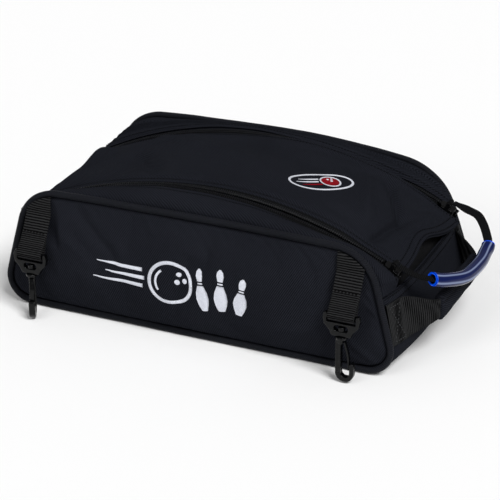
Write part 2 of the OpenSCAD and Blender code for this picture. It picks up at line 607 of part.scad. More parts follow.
// Hook, in its own frame: post up +Z from the collar's foot, jaw towards +X
shank_w = 5;
tip_w = 4;
shank_x = -4.5;
eye_x = shank_x + shank_w;
jaw_r = (shank_w + hook_eye + tip_w) / 2;
jaw_z = -hook_l + jaw_r;
tip_x = eye_x + hook_eye;
tip_h = 10;
module at_hook(hand, turn) translate([hand * strap_x, hook_y, collar_z]) rotate([0, 0, turn]) children();
module hook_outline() {
    difference() {
        union() {
            translate([shank_x, jaw_z]) square([shank_w, -jaw_z + 0.01]);
            translate([shank_x + jaw_r, jaw_z]) circle(r = jaw_r, $fn = 64);
            translate([tip_x, jaw_z]) square([tip_w, tip_h - tip_w / 2]);
            translate([tip_x + tip_w / 2, jaw_z + tip_h - tip_w / 2]) circle(d = tip_w, $fn = 32);
        }
        translate([eye_x, jaw_z]) square([hook_eye, 2 * jaw_r]);
        translate([eye_x + hook_eye / 2, jaw_z]) circle(d = hook_eye, $fn = 48);
    }
    translate([eye_x - 0.01, -4]) square([1.6, 4.01]);
}
module hook(hand, turn) color(plastic) at_hook(hand, turn) {
    head_z = collar_h + clear_gap + swivel_bar_t + clear_gap;
    difference() {
        translate([0, hook_t / 2, 0]) rotate([90, 0, 0]) linear_extrude(hook_t) hook_outline();
        for (s = [-1, 1]) translate([shank_x + 1.2, s > 0 ? hook_t / 2 - 0.9 : -hook_t / 2 - 1, jaw_z])
            cube([shank_w - 2.4, 1.9, -jaw_z - 3]);
    }
    cylinder(r = collar_r, h = collar_h, $fn = 48);
    cylinder(d = post_d, h = head_z + 1, $fn = 48);
    translate([0, 0, head_z]) cylinder(d = post_d + 2.4, h = window_h - 3 * clear_gap - 1, $fn = 48);
}
// Spring gate: a leaf from under the collar to the inside of the jaw's tip
gate_t = 1.5;
gate_w = 4.4;
gate_x = tip_x - gate_t / 2 - clear_gap;
gate_root = [eye_x + 1.6 + clear_gap + gate_t / 2, -2];
gate_line = spline_points([gate_root, [lerp(gate_root[0], gate_x, 0.72), lerp(gate_root[1], jaw_z, 0.36)],
    [gate_x, lerp(gate_root[1], jaw_z, 0.68)], [gate_x, jaw_z + 3]], 0, 3, 4);
// Point beside a line of points, half a thickness to one side
function beside(p, i, off) = let (t = tangent(p, i)) p[i] + off * [t[1], -t[0]];
module hook_gate(hand, turn) color(plastic) at_hook(hand, turn) {
    n = len(gate_line);
    translate([0, gate_w / 2, 0]) rotate([90, 0, 0]) linear_extrude(gate_w) polygon(concat(
        [for (i = [0:n - 1]) beside(gate_line, i, gate_t / 2)],
        [for (i = [n - 1:-1:0]) beside(gate_line, i, -gate_t / 2)]));
}

base_panel();
base_board();
panel_cover(front, -1);  // front_panel
panel_cover(rear, 1);  // rear_panel
panel_foam(front, -1);  // front_foam
panel_foam(rear, 1);  // rear_foam
piping(front, -1);  // front_piping
piping(rear, 1);  // rear_piping
gusset(front, -1);  // front_gusset
gusset(rear, 1);  // rear_gusset
end_panel(-1);  // left_end_panel
end_panel(1);  // right_end_panel
hinge_strip();
tape(-1, 1, zip_start);  // front_zip_tape
tape(1, 1, zip_start);  // rear_zip_tape
coil(-1, 1, zip_start + stop_span, zip_stop - stop_span);  // front_zip_coil
coil(1, 1, zip_start + stop_span, zip_stop - stop_span);  // rear_zip_coil
zip_stops();
handle_anchor(-1);  // handle_front_anchor
handle_anchor(1);  // handle_rear_anchor
handle_bend(-1);  // handle_front_bend
handle_bend(1);  // handle_rear_bend
handle_web(-wrap_half, wrap_half, 12);  // handle_core
handle_wrap();
strap_root(-1);  // left_strap_root
strap_root(1);  // right_strap_root
lid_panel();
tape(-1, -1, lid_zip_start);  // lid_front_tape
tape(1, -1, lid_zip_start);  // lid_rear_tape
coil(-1, -1, lid_zip_start, zip_stop);  // lid_front_coil
coil(1, -1, lid_zip_start, zip_stop);  // lid_rear_coil
slider(-1);  // front_slider
slider(1);  // rear_slider
pull_end_loops();
pull_webbing();
pull_tube();
strap(-1);  // left_strap
swivel_loop(-1);  // left_swivel_loop
hook(-1, left_turn);  // left_hook
hook_gate(-1, left_turn);  // left_hook_gate
strap(1);  // right_strap
swivel_loop(1);  // right_swivel_loop
hook(1, right_turn);  // right_hook
hook_gate(1, right_turn);  // right_hook_gate
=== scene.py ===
# %% [markdown]
# # A soft bowling shoe bag
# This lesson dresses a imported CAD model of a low, zipped bag: a piped loaf of padded twill with two
# curved zips, one tubed pull for both sliders, a webbing grab handle and two hook straps. The frame
# brings the CAD pieces and their bodies. Everything soft is rebuilt here as a surface that numpy works
# out, in millimetres, and is scaled to metres when it goes into its mesh.

import bpy
import numpy as np
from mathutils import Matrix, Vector


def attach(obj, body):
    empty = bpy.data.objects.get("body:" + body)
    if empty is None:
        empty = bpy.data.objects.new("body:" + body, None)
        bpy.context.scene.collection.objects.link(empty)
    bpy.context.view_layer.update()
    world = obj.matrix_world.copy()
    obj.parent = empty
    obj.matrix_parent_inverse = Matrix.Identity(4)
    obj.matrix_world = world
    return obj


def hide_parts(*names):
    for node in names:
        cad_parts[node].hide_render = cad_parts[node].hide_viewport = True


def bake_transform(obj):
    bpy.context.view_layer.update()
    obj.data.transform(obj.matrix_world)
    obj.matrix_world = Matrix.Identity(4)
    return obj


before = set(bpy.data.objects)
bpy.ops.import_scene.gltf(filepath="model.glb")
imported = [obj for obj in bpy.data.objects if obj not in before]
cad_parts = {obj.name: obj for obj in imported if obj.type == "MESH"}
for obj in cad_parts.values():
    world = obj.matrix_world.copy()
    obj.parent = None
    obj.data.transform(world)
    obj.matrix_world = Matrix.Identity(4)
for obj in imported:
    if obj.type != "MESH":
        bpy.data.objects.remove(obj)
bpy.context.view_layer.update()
MM = 0.001

# %% [markdown]
# ## Putting arrays into meshes
# Each piece is a grid of points, so one helper turns a grid into quads, another closes a sheet into a
# shell with a face, a back and a rim, and a third writes the arrays with foreach_set. Lengths along
# the grid become the UV map in metres, so that a weave keeps its scale on every piece.

# %% Mesh helpers
def quads(rows, cols, wrap_rows=False, wrap_cols=False):
    """Corner numbers of the quads of a rows by cols grid; a wrapped direction joins its end to its start."""
    i = np.arange(rows if wrap_rows else rows - 1)[:, None]
    j = np.arange(cols if wrap_cols else cols - 1)[None, :]
    near, far = i * cols, (i + 1) % rows * cols
    left, right = j, (j + 1) % cols
    return np.stack(np.broadcast_arrays(near + left, far + left, far + right, near + right), -1).reshape(-1, 4)


def lengths(points, axis=0):
    """Running length in mm along a path, or along one direction of a grid, starting from 0."""
    steps = np.linalg.norm(np.diff(points, axis=axis), axis=-1)
    return np.concatenate([np.zeros_like(np.take(steps, [0], axis)), np.cumsum(steps, axis)], axis)


def grid_uv(grid):
    """UV of a grid in metres: u is the length along the rows, v the length along the columns."""
    return np.stack([lengths(grid, 0), lengths(grid, 1)], -1) * MM


def outward(points, faces):
    """The blocks of faces, turned round if together they enclose a negative volume."""
    volume = sum((np.cross(points[block[:, 0]], points[block[:, k]]) * points[block[:, k + 1]]).sum()
                 for block in faces for k in range(1, block.shape[1] - 1))
    return faces if volume > 0 else [block[:, ::-1] for block in faces]


def repeated(points, faces, per):
    """Points that hold the same piece many times, per points each, with the first piece's faces for every one."""
    shift = np.arange(0, len(points), per)[:, None, None]
    return points, [(block + shift).reshape(-1, block.shape[1]) for block in outward(points[:per], faces)]


def new_mesh(name, points, faces, uv=None):
    """A mesh object from points in mm and blocks of triangles or quads; uv has a row for each point or corner."""
    corners = np.concatenate([block.ravel() for block in faces]).astype(np.int32)
    sizes = np.concatenate([np.full(len(block), block.shape[1]) for block in faces])
    mesh = bpy.data.meshes.new(name)
    mesh.vertices.add(len(points))
    mesh.vertices.foreach_set("co", (np.asarray(points) * MM).astype(np.float32).ravel())
    mesh.loops.add(len(corners))
    mesh.loops.foreach_set("vertex_index", corners)
    mesh.polygons.add(len(sizes))
    mesh.polygons.foreach_set("loop_start", np.concatenate([[0], np.cumsum(sizes)[:-1]]).astype(np.int32))
    mesh.polygons.foreach_set("use_smooth", np.ones(len(sizes), bool))
    if uv is not None:
        at_corners = uv if len(uv) == len(corners) else uv[corners]
        mesh.uv_layers.new(name="UVMap").data.foreach_set("uv", at_corners.astype(np.float32).ravel())
    mesh.update(calc_edges=True)
    mesh.validate()
    obj = bpy.data.objects.new(name, mesh)
    bpy.context.collection.objects.link(obj)
    return obj


def dress(obj, finish, body, stands_for=()):
    """Gives a piece its finish, the body that it rides on and the CAD nodes that it stands for."""
    obj.data.materials.append(finish)
    if body:
        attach(obj, body)
    if stands_for:
        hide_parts(*stands_for)
    print(f"{obj.name}: {len(obj.data.vertices)} points, {len(obj.data.polygons)} faces")
    return obj


def repaint(node, finish):
    """Gives a CAD node that stays in the scene its finish."""
    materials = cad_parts[node].data.materials
    materials.clear()
    materials.append(finish)


def shell_parts(face, back, uv_grid=None):
    """Points, quads and UV of a closed sheet: a grid for its face, one for its back and a rim that joins their
    edges. The UV map is uv_grid, or the lengths along the face."""
    rows, cols = face.shape[:2]
    count, skin = rows * cols, quads(rows, cols)
    number = np.arange(count).reshape(rows, cols)
    rim = np.concatenate([number[0, :-1], number[:-1, -1], number[-1, :0:-1], number[:0:-1, 0]])
    after = np.roll(rim, -1)
    faces = np.concatenate([skin, skin[:, ::-1] + count, np.stack([rim + count, after + count, after, rim], -1)])
    points = np.concatenate([face.reshape(-1, 3), back.reshape(-1, 3)])
    uv = (grid_uv(face) if uv_grid is None else uv_grid).reshape(-1, 2)
    return points, outward(points, [faces])[0], np.concatenate([uv, uv])


def shell(name, face, back, uv_grid=None):
    """One closed sheet as a mesh."""
    points, faces, uv = shell_parts(face, back, uv_grid)
    return new_mesh(name, points, [faces], uv)


def tube(name, rings, closed=False):
    """A skin through rings of points, round a loop or with both ends closed by fans."""
    rows, cols = rings.shape[:2]
    points, faces = rings.reshape(-1, 3), [quads(rows, cols, closed, True)]
    wide = np.concatenate([rings, rings[:, :1]], 1)
    at = grid_uv(np.concatenate([wide, wide[:1]], 0) if closed else wide)
    i, j = np.divmod(np.arange(len(faces[0])), cols)
    uv = [np.stack([at[i, j], at[i + 1, j], at[i + 1, j + 1], at[i, j + 1]], 1)]
    if not closed:
        ring, last = np.arange(cols), (rows - 1) * cols
        after, tip = (ring + 1) % cols, np.full(cols, len(points))
        faces += [np.stack([tip, ring, after], -1), np.stack([tip + 1, after + last, ring + last], -1)]
        points = np.concatenate([points, rings[[0, -1]].mean(1)])
        uv += [np.zeros((cols, 3, 2))] * 2
    turned = outward(points, faces)
    if turned is not faces:
        uv[0] = uv[0][:, ::-1]
    return new_mesh(name, points, turned, np.concatenate([block.reshape(-1, 2) for block in uv]))


print("mesh helpers ready")

# %% [markdown]
# ## Shapes that come back
# Cloth is described with a few shapes again and again: a soft step, a bell, a fold, the dip of a seam and slow
# noise. Each is a formula on whole arrays, so a surface is a sum of them and stays easy to change.

# %% Shape helpers
def unit(v):
    """Vectors scaled to length 1."""
    return v / np.maximum(np.linalg.norm(v, axis=-1, keepdims=True), 1e-9)


def normals_of(grid, towards=None):
    """Unit normals of a grid, the cross product of its running directions, each turned to the side of towards."""
    normal = unit(np.cross(np.gradient(grid, axis=0), np.gradient(grid, axis=1)))
    return normal if towards is None else normal * np.sign((normal * towards).sum(-1, keepdims=True))


def smooth(a, b, x):
    """Rises from 0 at a to 1 at b with no corners."""
    t = np.clip((np.asarray(x, float) - a) / (b - a), 0, 1)
    return t * t * (3 - 2 * t)


def mix(a, b, t):
    """Straight blend from a to b."""
    return a + (b - a) * t


def bell(x, width):
    """1 at x = 0, falling to both sides as a bell of this width."""
    return np.exp(-(x / width) ** 2)


def crowded(count, share):
    """Places from -1 to 1 that lie closer near both ends: a share of half a sine wave."""
    return np.sin(np.linspace(-np.pi / 2, np.pi / 2, count) * share) / np.sin(np.pi / 2 * share)


def around(count):
    """Angles of count even steps round a circle."""
    return np.linspace(0, 2 * np.pi, count, endpoint=False)


def squared(v, power):
    """A sine or cosine raised to a power below 1 with its sign kept: a circle of them becomes a squared oval."""
    return np.sign(v) * np.abs(v) ** power


def soft_noise(x, y, size, seed):
    """Smooth unevenness between -1 and 1: seven sine waves in random directions, about size mm long."""
    rng = np.random.default_rng(seed)
    angle, phase = rng.uniform(0, 2 * np.pi, (2, 7))
    length = size * rng.uniform(0.7, 1.5, 7)
    waves = [np.sin((x * np.cos(a) + y * np.sin(a)) * 2 * np.pi / l + p) for a, l, p in zip(angle, length, phase)]
    return sum(waves) / 3.5


def fold(x, y, start, end, width, height):
    """Height of a soft fold along the line from start to end: a bell across it that fades at both ends."""
    run = np.subtract(end, start)
    along = ((x - start[0]) * run[0] + (y - start[1]) * run[1]) / (run ** 2).sum()
    off = ((y - start[1]) * run[0] - (x - start[0]) * run[1]) / np.hypot(*run)
    return height * bell(off, width) * smooth(-0.15, 0.2, along) * (1 - smooth(0.8, 1.15, along))


def folds(x, y, rows):
    """Several folds together, a row of start, end, width and height for each; a height below 0 is a dent."""
    return sum(fold(x, y, *each) for each in rows)


def groove(distance, depth=0.8, width=1.2):
    """Dip of a row of stitches at a distance from it."""
    return -depth * bell(distance, width)


def bent(foot, knee, head, cols):
    """Rows of points on quadratic curves from foot to head that lean towards knee."""
    t = np.linspace(0, 1, cols)[None, :, None]
    return foot[:, None] * (1 - t) ** 2 + 2 * knee[:, None] * t * (1 - t) + head * t ** 2


print("shape helpers ready")

# %% [markdown]
# ## Camera, light and floor
# The view comes first, so that every later piece can be judged from it. The camera stands 1.8 m away,
# 24.35 degrees round to the right and 24.7 degrees up. A broad soft light high on the right, a weaker one
# from the left and a pale floor give the plain studio look of a catalogue picture. Colours are shown
# without a film curve, so that the white floor stays white and the black cloth black.

# %% Camera, light and floor
AZIMUTH, ELEVATION = np.radians(24.35), np.radians(24.7)
DISTANCE, LENS, SENSOR = 1.8, 137.95, 36
FLOOR_HALF, FLOOR_Z = 4000.0, -0.6
look_at = np.array([10, 0, 45]) * MM
back = np.array([np.sin(AZIMUTH) * np.cos(ELEVATION), -np.cos(AZIMUTH) * np.cos(ELEVATION), np.sin(ELEVATION)])
camera = bpy.data.objects.new("camera", bpy.data.cameras.new("camera"))
camera.location = look_at + back * DISTANCE
camera.rotation_euler = Vector(back).to_track_quat("Z", "Y").to_euler()
camera.data.lens, camera.data.sensor_width = LENS, SENSOR
bpy.context.collection.objects.link(camera)
bpy.context.scene.camera = camera
bpy.context.scene.view_settings.view_transform = "Standard"

world = bpy.data.worlds.new("studio")
world.use_nodes = True
world.node_tree.nodes["Background"].inputs["Color"].default_value = (1, 1, 1, 1)
world.node_tree.nodes["Background"].inputs["Strength"].default_value = 0.25
bpy.context.scene.world = world


def soft_sun(name, towards, strength, spread):
    """A distant light that shines from the direction towards, spread over an angle in degrees."""
    light = bpy.data.objects.new(name, bpy.data.lights.new(name, "SUN"))
    light.data.energy = strength
    light.data.angle = np.radians(spread)
    light.rotation_euler = Vector(towards).to_track_quat("Z", "Y").to_euler()
    bpy.context.collection.objects.link(light)


soft_sun("right_box", (0.62, -0.42, 0.9), 2.8, 26)
soft_sun("left_box", (-0.2, -0.85, 0.6), 0.8, 40)

floor_paint = bpy.data.materials.new("pale_floor")
floor_paint.use_nodes = True
floor_shader = floor_paint.node_tree.nodes["Principled BSDF"]
floor_shader.inputs["Base Color"].default_value = (0.93, 0.93, 0.93, 1)
floor_shader.inputs["Roughness"].default_value = 0.9
floor_corners = np.array([[-1, -1], [1, -1], [1, 1], [-1, 1]]) * FLOOR_HALF
floor = new_mesh("floor", np.insert(floor_corners, 2, FLOOR_Z, axis=1), [np.arange(4)[None]])
floor.data.materials.append(floor_paint)
print("camera at", [round(c, 3) for c in camera.location])

# %% [markdown]
# ## Finishes
# A material is a small graph of nodes. Every finish here is built with one helper, which adds nodes, fills
# their inputs with values or links, and holds the few steps that the finishes share.

# %% Node helper
class Finish:
    """A material under construction: add() makes a node, set() fills the shader's inputs with values or sockets, and
    the rest make the few nodes that the finishes share. own and place are the Object and UV coordinates."""

    def __init__(self, name):
        self.material = bpy.data.materials.new(name)
        self.material.use_nodes = True
        self.tree = self.material.node_tree
        self.shader = self.tree.nodes["Principled BSDF"]
        where = self.add("ShaderNodeTexCoord").outputs
        self.own, self.place = where["Object"], where["UV"]

    def fill(self, node, inputs):
        """Links a socket to an input, or writes a value into it."""
        for key, value in inputs.items():
            if isinstance(value, bpy.types.NodeSocket):
                self.tree.links.new(value, node.inputs[key])
            else:
                node.inputs[key].default_value = value

    def add(self, kind, inputs=None, **settings):
        """A node of a kind, with its inputs and settings."""
        node = self.tree.nodes.new(kind)
        for key, value in settings.items():
            setattr(node, key, value)
        self.fill(node, inputs or {})
        return node

    def set(self, **inputs):
        """Inputs of the shader, with _ for the spaces in their names."""
        self.fill(self.shader, {key.replace("_", " "): value for key, value in inputs.items()})

    def math(self, operation, *values):
        """One Math node's result."""
        return self.add("ShaderNodeMath", dict(enumerate(values)), operation=operation).outputs[0]

    def sum(self, a, b, share):
        """a + b * share."""
        return self.math("MULTIPLY_ADD", b, share, a)

    def ramp(self, value, low, high, top=1.0, bottom=0.0, shape="LINEAR"):
        """low where value is at the bottom, high where it is at the top."""
        return self.add("ShaderNodeMapRange", {"Value": value, "From Min": bottom, "From Max": top, "To Min": low,
                                               "To Max": high}, interpolation_type=shape).outputs["Result"]

    def tint(self, share, dark, light):
        """Colour from dark to light by share."""
        a, b = (c if isinstance(c, bpy.types.NodeSocket) else (*c, 1) for c in (dark, light))
        return self.add("ShaderNodeMix", {"Factor": share, "A": a, "B": b}, data_type="RGBA").outputs["Result"]

    def moved(self, **inputs):
        """The UV coordinates, turned or scaled."""
        return self.add("ShaderNodeMapping", {"Vector": self.place, **inputs}).outputs["Vector"]

    def noise(self, scale, detail, roughness=0.5, at=None):
        """Cloudy noise, in the object's own coordinates where at isn't given."""
        return self.add("ShaderNodeTexNoise", {"Vector": self.own if at is None else at, "Scale": scale,
                                               "Detail": detail, "Roughness": roughness}).outputs["Fac"]

    def wave(self, at, period, distortion, detail=2.0, detail_scale=1.0, direction="X"):
        """Bands period metres apart."""
        return self.add("ShaderNodeTexWave", {
            "Vector": at, "Scale": 2 * np.pi / 20 / period, "Distortion": distortion, "Detail": detail,
            "Detail Scale": detail_scale}, bands_direction=direction).outputs["Fac"]

    def bump(self, height, depth, strength=1.0):
        """Relief on the shader: height times depth in metres."""
        node = self.add("ShaderNodeBump", {"Height": height, "Distance": depth, "Strength": strength})
        self.set(Normal=node.outputs["Normal"])


print("node helper ready")

# %% [markdown]
# ## Cloth finishes
# The bag is near-black polyester twill. A twill shows as fine diagonal ribs, so its material turns the
# UV map by 60 degrees, runs a wave across it for the ribs and a finer one along them for the yarns, and
# adds slow noise for dust and wear. Webbing gets the same yarn detail; its ribs are modelled, and the same
# wave at their pitch paints shade between them, dark bands in the grooves. A low IOR and a trace of sheen
# keep black cloth dull, with folds that can still be read.

# %% Cloth finishes
def fabric(name, dark, light, rib, turn=60, yarn=0.0006, depth=0.00022, rough=0.82, sheen=0.008, span=(-0.4, 1.2),
           ior=1.04):
    """Woven cloth: ribs along one diagonal, yarns across them, slow noise for wear; on webbing, whose ribs are
    modelled, the rib bands are painted shade in the grooves.
    """
    f = Finish(name)
    turned = f.moved(Rotation=(0, 0, np.radians(turn)))
    ribs_and_groove_shade, yarns = f.wave(turned, rib, 0.6, 1.0, 3.0), f.wave(turned, yarn, 1.0, direction="Y")
    wear, fuzz = f.noise(14.0, 4.0), f.noise(620.0, 3.0, 0.7)
    weave_and_groove_shade = f.sum(f.sum(ribs_and_groove_shade, yarns, 0.35), fuzz, 0.7)
    # the rib bands set the colour: on twill they are the weave's pattern, on webbing painted shade between the modelled
    # ribs
    shade = f.sum(f.ramp(weave_and_groove_shade, *span, top=2.05), wear, 0.4)
    f.set(Base_Color=f.tint(shade, dark, light), Roughness=f.ramp(wear, rough - 0.06, rough + 0.06),
          Sheen_Weight=sheen, Sheen_Roughness=0.5, Sheen_Tint=(0.55, 0.6, 0.72, 1), IOR=ior)
    f.bump(weave_and_groove_shade, depth)
    return f.material


twill = fabric("black_twill", (0.0016, 0.0019, 0.0028), (0.0166, 0.0178, 0.0236), 0.0017)
lining = fabric("lining", (0.0008, 0.0008, 0.0009), (0.021, 0.021, 0.0225), 0.0013, turn=0, depth=0.0004,
                span=(-0.7, 1.3))
piping_cloth = fabric("piping_cloth", (0.0012, 0.0014, 0.002), (0.0142, 0.0152, 0.02), 0.0014, turn=45, rough=0.45,
                      ior=1.13)
tape_cloth = fabric("zip_tape", (0.0012, 0.0013, 0.0014), (0.009, 0.0093, 0.0098), 0.0011, turn=35, depth=0.00015)
WEB_LOOK = {"turn": 0, "yarn": 0.0009, "depth": 0.0003, "rough": 0.72, "sheen": 0.012}
# painted shade: both webbings darken strongly between ribs, at the pitch of their modelled ribs
webbing = fabric("ribbed_webbing", (0.0004, 0.0004, 0.0005), (0.0255, 0.0258, 0.0265), 0.0022, span=(-0.85, 1.45),
                 **WEB_LOOK)
pull_webbing = fabric("pull_webbing", (0.0004, 0.0004, 0.0005), (0.0125, 0.0127, 0.0135), 0.0017, span=(-0.6, 1.2),
                      **WEB_LOOK)
print("cloth finishes:", [m.name for m in (twill, lining, piping_cloth, tape_cloth, webbing, pull_webbing)])

# %% [markdown]
# ## Thread, plastic, metal and board
# Thread is a fine slanting wave, and satin stitch a wave along each stroke. The hooks, coils and board
# are moulded, so they get orange peel and scuffs in the gloss, and the sliders are painted metal.

# %% Thread, plastic, metal and board finishes
def thread(name, dark, light, sheen):
    """Twisted sewing thread: a fine slanting wave over the colour, with a silky edge."""
    f = Finish(name)
    twist, cloud = f.wave(f.own, 0.0007, 2.0, direction="DIAGONAL"), f.noise(160.0, 3.0)
    f.set(Base_Color=f.tint(f.sum(f.ramp(twist, 0.1, 0.6), cloud, 0.4), dark, light),
          Roughness=f.ramp(cloud, 0.42, 0.6), Sheen_Weight=sheen, IOR=1.12)
    f.bump(twist, 0.00012)
    return f.material


def moulded(name, dark, light, rough):
    """Moulded plastic: fine orange peel over slow swirls, faint scuffs in the gloss."""
    f = Finish(name)
    peel, scuff, swirl = f.noise(1500.0, 2.0), f.noise(120.0, 6.0, 0.7), f.noise(210.0, 1.0)
    f.set(Base_Color=f.tint(scuff, dark, light), Roughness=f.ramp(scuff, rough - 0.1, rough + 0.14),
          Specular_IOR_Level=0.2)
    f.bump(f.sum(swirl, peel, 0.06), 0.0007, 0.7)
    return f.material


def plated(name, dark, light):
    """Black painted die-cast metal, worn brighter in cloudy patches."""
    f = Finish(name)
    wear = f.noise(260.0, 6.0, 0.65)
    f.set(Base_Color=f.tint(wear, dark, light), Roughness=f.ramp(wear, 0.06, 0.24), Specular_IOR_Level=0.1)
    f.bump(wear, 0.00003, 0.6)
    return f.material


def satin(name, dark, light, sheen=0.1, ior=1.3):
    """Satin stitch: threads side by side across a stroke, a fine wave along its length, with a silky gloss."""
    f = Finish(name)
    threads, cloud = f.wave(f.place, 0.00045, 0.8, 1.0), f.noise(420.0, 3.0)
    f.set(Base_Color=f.tint(f.sum(f.ramp(threads, 0.0, 0.75), cloud, 0.4), dark, light),
          Roughness=f.ramp(cloud, 0.35, 0.6), Sheen_Weight=sheen, IOR=ior)
    f.bump(threads, 0.0001)
    return f.material


grey_thread = thread("grey_thread", (0.012, 0.0124, 0.0135), (0.05, 0.051, 0.054), 0.01)
black_thread = thread("black_thread", (0.0003, 0.0003, 0.0004), (0.0016, 0.0017, 0.002), 0.0)
white_satin = satin("white_satin", (0.42, 0.44, 0.52), (0.86, 0.88, 0.95))
red_satin = satin("red_satin", (0.1, 0.002, 0.005), (0.32, 0.005, 0.012), 0.0, 1.1)
hook_plastic = moulded("hook_plastic", (0.0006, 0.0007, 0.0009), (0.002, 0.0022, 0.0026), 0.17)
coil_nylon = moulded("coil_nylon", (0.002, 0.0022, 0.0028), (0.0085, 0.009, 0.0115), 0.3)
slider_metal = plated("slider_metal", (0.0008, 0.0008, 0.001), (0.004, 0.0041, 0.0045))
board = moulded("base_board", (0.02, 0.019, 0.018), (0.05, 0.048, 0.045), 0.75)
print("hard finishes:", [m.name for m in (black_thread, white_satin, hook_plastic, coil_nylon, slider_metal, board)])

# %% [markdown]
# ## Finish of the clear tube
# A clear tinted tube looks dark in the middle, where the webbing shows through, and bright in streaks where
# its wall catches the light. Its cut ends glow, because light runs along the wall. Real refraction would be
# noisy, so this light is painted into the colour: the streaks are painted highlights placed by the UV map,
# u along the tube, v round it, and both cut ends are painted a glowing bright blue.

# %% Finish of the tube
def away(finish, value, middle):
    """Distance of a value from the middle."""
    return finish.math("ABSOLUTE", finish.math("SUBTRACT", value, middle))


def band(finish, value, middle, half):
    """1 at the middle of a band, falling smoothly to 0 at half its width to either side."""
    return finish.ramp(away(finish, value, middle), 1.0, 0.0, half, shape="SMOOTHSTEP")


TUBE_LENGTH = 0.1146
vinyl = Finish("blue_vinyl")
split = vinyl.add("ShaderNodeSeparateXYZ", {"Vector": vinyl.place}).outputs
streaks = vinyl.noise(2.0, 3.0, at=vinyl.moved(Scale=(6.0, 160.0, 1.0)))
girth = vinyl.sum(split["Y"], streaks, 0.0012)
# painted highlight: two pale bands round the tube stand for its wall catching the light
painted_streaks = vinyl.math("MAXIMUM", band(vinyl, girth, 0.0169, 0.0014), band(vinyl, girth, 0.0095, 0.0019))
tint_and_painted_streaks = vinyl.tint(painted_streaks, (0.004, 0.009, 0.062), (0.2, 0.24, 0.38))
# painted glow: both cut ends are coloured bright blue, for light running along the wall
painted_cut_glow = vinyl.ramp(away(vinyl, split["X"], TUBE_LENGTH / 2), 0.0, 1.0, TUBE_LENGTH / 2 - 0.0006, TUBE_LENGTH / 2 - 0.0011)
vinyl.set(Base_Color=vinyl.tint(painted_cut_glow, tint_and_painted_streaks, (0.0, 0.09, 0.95)), Roughness=vinyl.ramp(streaks, 0.08, 0.2),
          Transmission_Weight=0.1, IOR=1.4, Specular_IOR_Level=0.2)
blue_vinyl = vinyl.material
print("tube finish:", blue_vinyl.name)

# %% [markdown]
# ## The panel outline
# The front and rear panels are rounded trapezoids. Their outline is the path of the piping and the
# start of every other surface, so it is worked out once: a corner circle at the bottom, one at the top
# and the line that touches both.

# %% Sizes and outline
WIDTH, HALF_DEPTH = 380.0, 103.0
BOTTOM_R, TOP_INSET, PIPING_R = 22.0, 14.0, 3.0
FRONT = ((118.0, 42.0, 6000.0), (118.0, 42.0, 6000.0))
REAR = ((127.0, 60.0, 900.0), (127.0, 47.0, 2200.0))
SEAM_Z, ZIP_Y, ZIP_HALF, LID_Y, GUSSET_Y = 72.0, 73.0, 10.0, 66.3, 79.8
SHEET_Y = HALF_DEPTH - PIPING_R - 0.2
ZIP_END_X, ZIP_R, ZIP_AXIS_Z = 186.6, 383.215, -251.215
ZIP_START, ZIP_STOP, SLIDER_AT, SLIDER_HALF = 60.8608, 119.1392, 62.4008, 1.12135
PIN = np.array([180.757, 94.5531])
STRAP_X, STRAP_W, STRAP_T = 153.0, 25.4, 1.6


def corner_circles(half):
    """Centres of the bottom and top corner circles of a panel's half (height, corner radius, arch radius),
    the angle where the side leaves both, and the angle where the top arch takes over."""
    h, corner, arch = half
    low = np.array([WIDTH / 2 - BOTTOM_R, PIPING_R + BOTTOM_R])
    x = WIDTH / 2 - TOP_INSET - corner
    high = np.array([x, h - arch + np.sqrt((arch - corner) ** 2 - x ** 2)])
    d = high - low
    lean = np.arctan2(d[1], d[0]) - np.arccos((BOTTOM_R - corner) / np.hypot(*d))
    return low, high, lean, np.arctan2(high[1] - h + arch, x)


def top_edge(half, x):
    """Height of a panel's arched top edge over x, inside its corners."""
    return half[0] - half[2] + np.sqrt(half[2] ** 2 - x ** 2)


def sampled(want, at, values):
    """Rows of values, known at the places at, read off at the places want."""
    return np.stack([np.interp(want, at, column) for column in values.T], -1)


def even(path, count, closed=False):
    """A path resampled to count points at even spacing."""
    path = np.concatenate([path, path[:1]]) if closed else path
    at = lengths(path)
    want = np.linspace(0, at[-1], count + 1)[:-1] if closed else np.linspace(0, at[-1], count)
    return sampled(want, at, path)


def side_edge(half, inset=0.0, count=60):
    """Side of a panel's half as [x, z]: bottom corner arc, straight side, top corner arc."""
    low, high, lean, turn = corner_circles(half)
    a, b = np.linspace(-np.pi / 2, lean, 40), np.linspace(lean, turn, 60)
    ring = lambda c, r, t: c + r * np.stack([np.cos(t), np.sin(t)], -1)
    return even(np.concatenate([ring(low, BOTTOM_R - inset, a), ring(high, half[1] - inset, b)]), count)


def over_top(half, inset=0.0, count=400):
    """A panel's half from the bottom corner round to the middle of its top."""
    side = side_edge(half, inset, 200)
    x = np.linspace(side[-1, 0], 0, 60)[1:]
    arch = (half[0], half[1], half[2] - inset)
    top = np.stack([x, top_edge(arch, x) - inset], -1)
    return even(np.concatenate([side, top]), count)


def outline(panel, inset, count):
    """The whole outline of a panel, its right and left halves, at even spacing."""
    right, left = (over_top(half, inset) for half in panel)
    return even(np.concatenate([[[0, right[0, 1]]], right, left[-2::-1] * [-1, 1]]), count, closed=True)


print(f"front outline is {lengths(outline(FRONT, 0, 400))[-1]:.0f} mm round")

# %% [markdown]
# ## Cloth that fills out
# Padded fabric swells between its seams, and a short cloth simulation gives that better than a
# formula: the grid's edge is pinned as sewn, pressure fills the rest and the cloth is a little larger
# than its frame, so it puckers near the seams. The result is read back into the grid and no modifier
# is left. The move of every point is capped, so the panel keeps its CAD form.

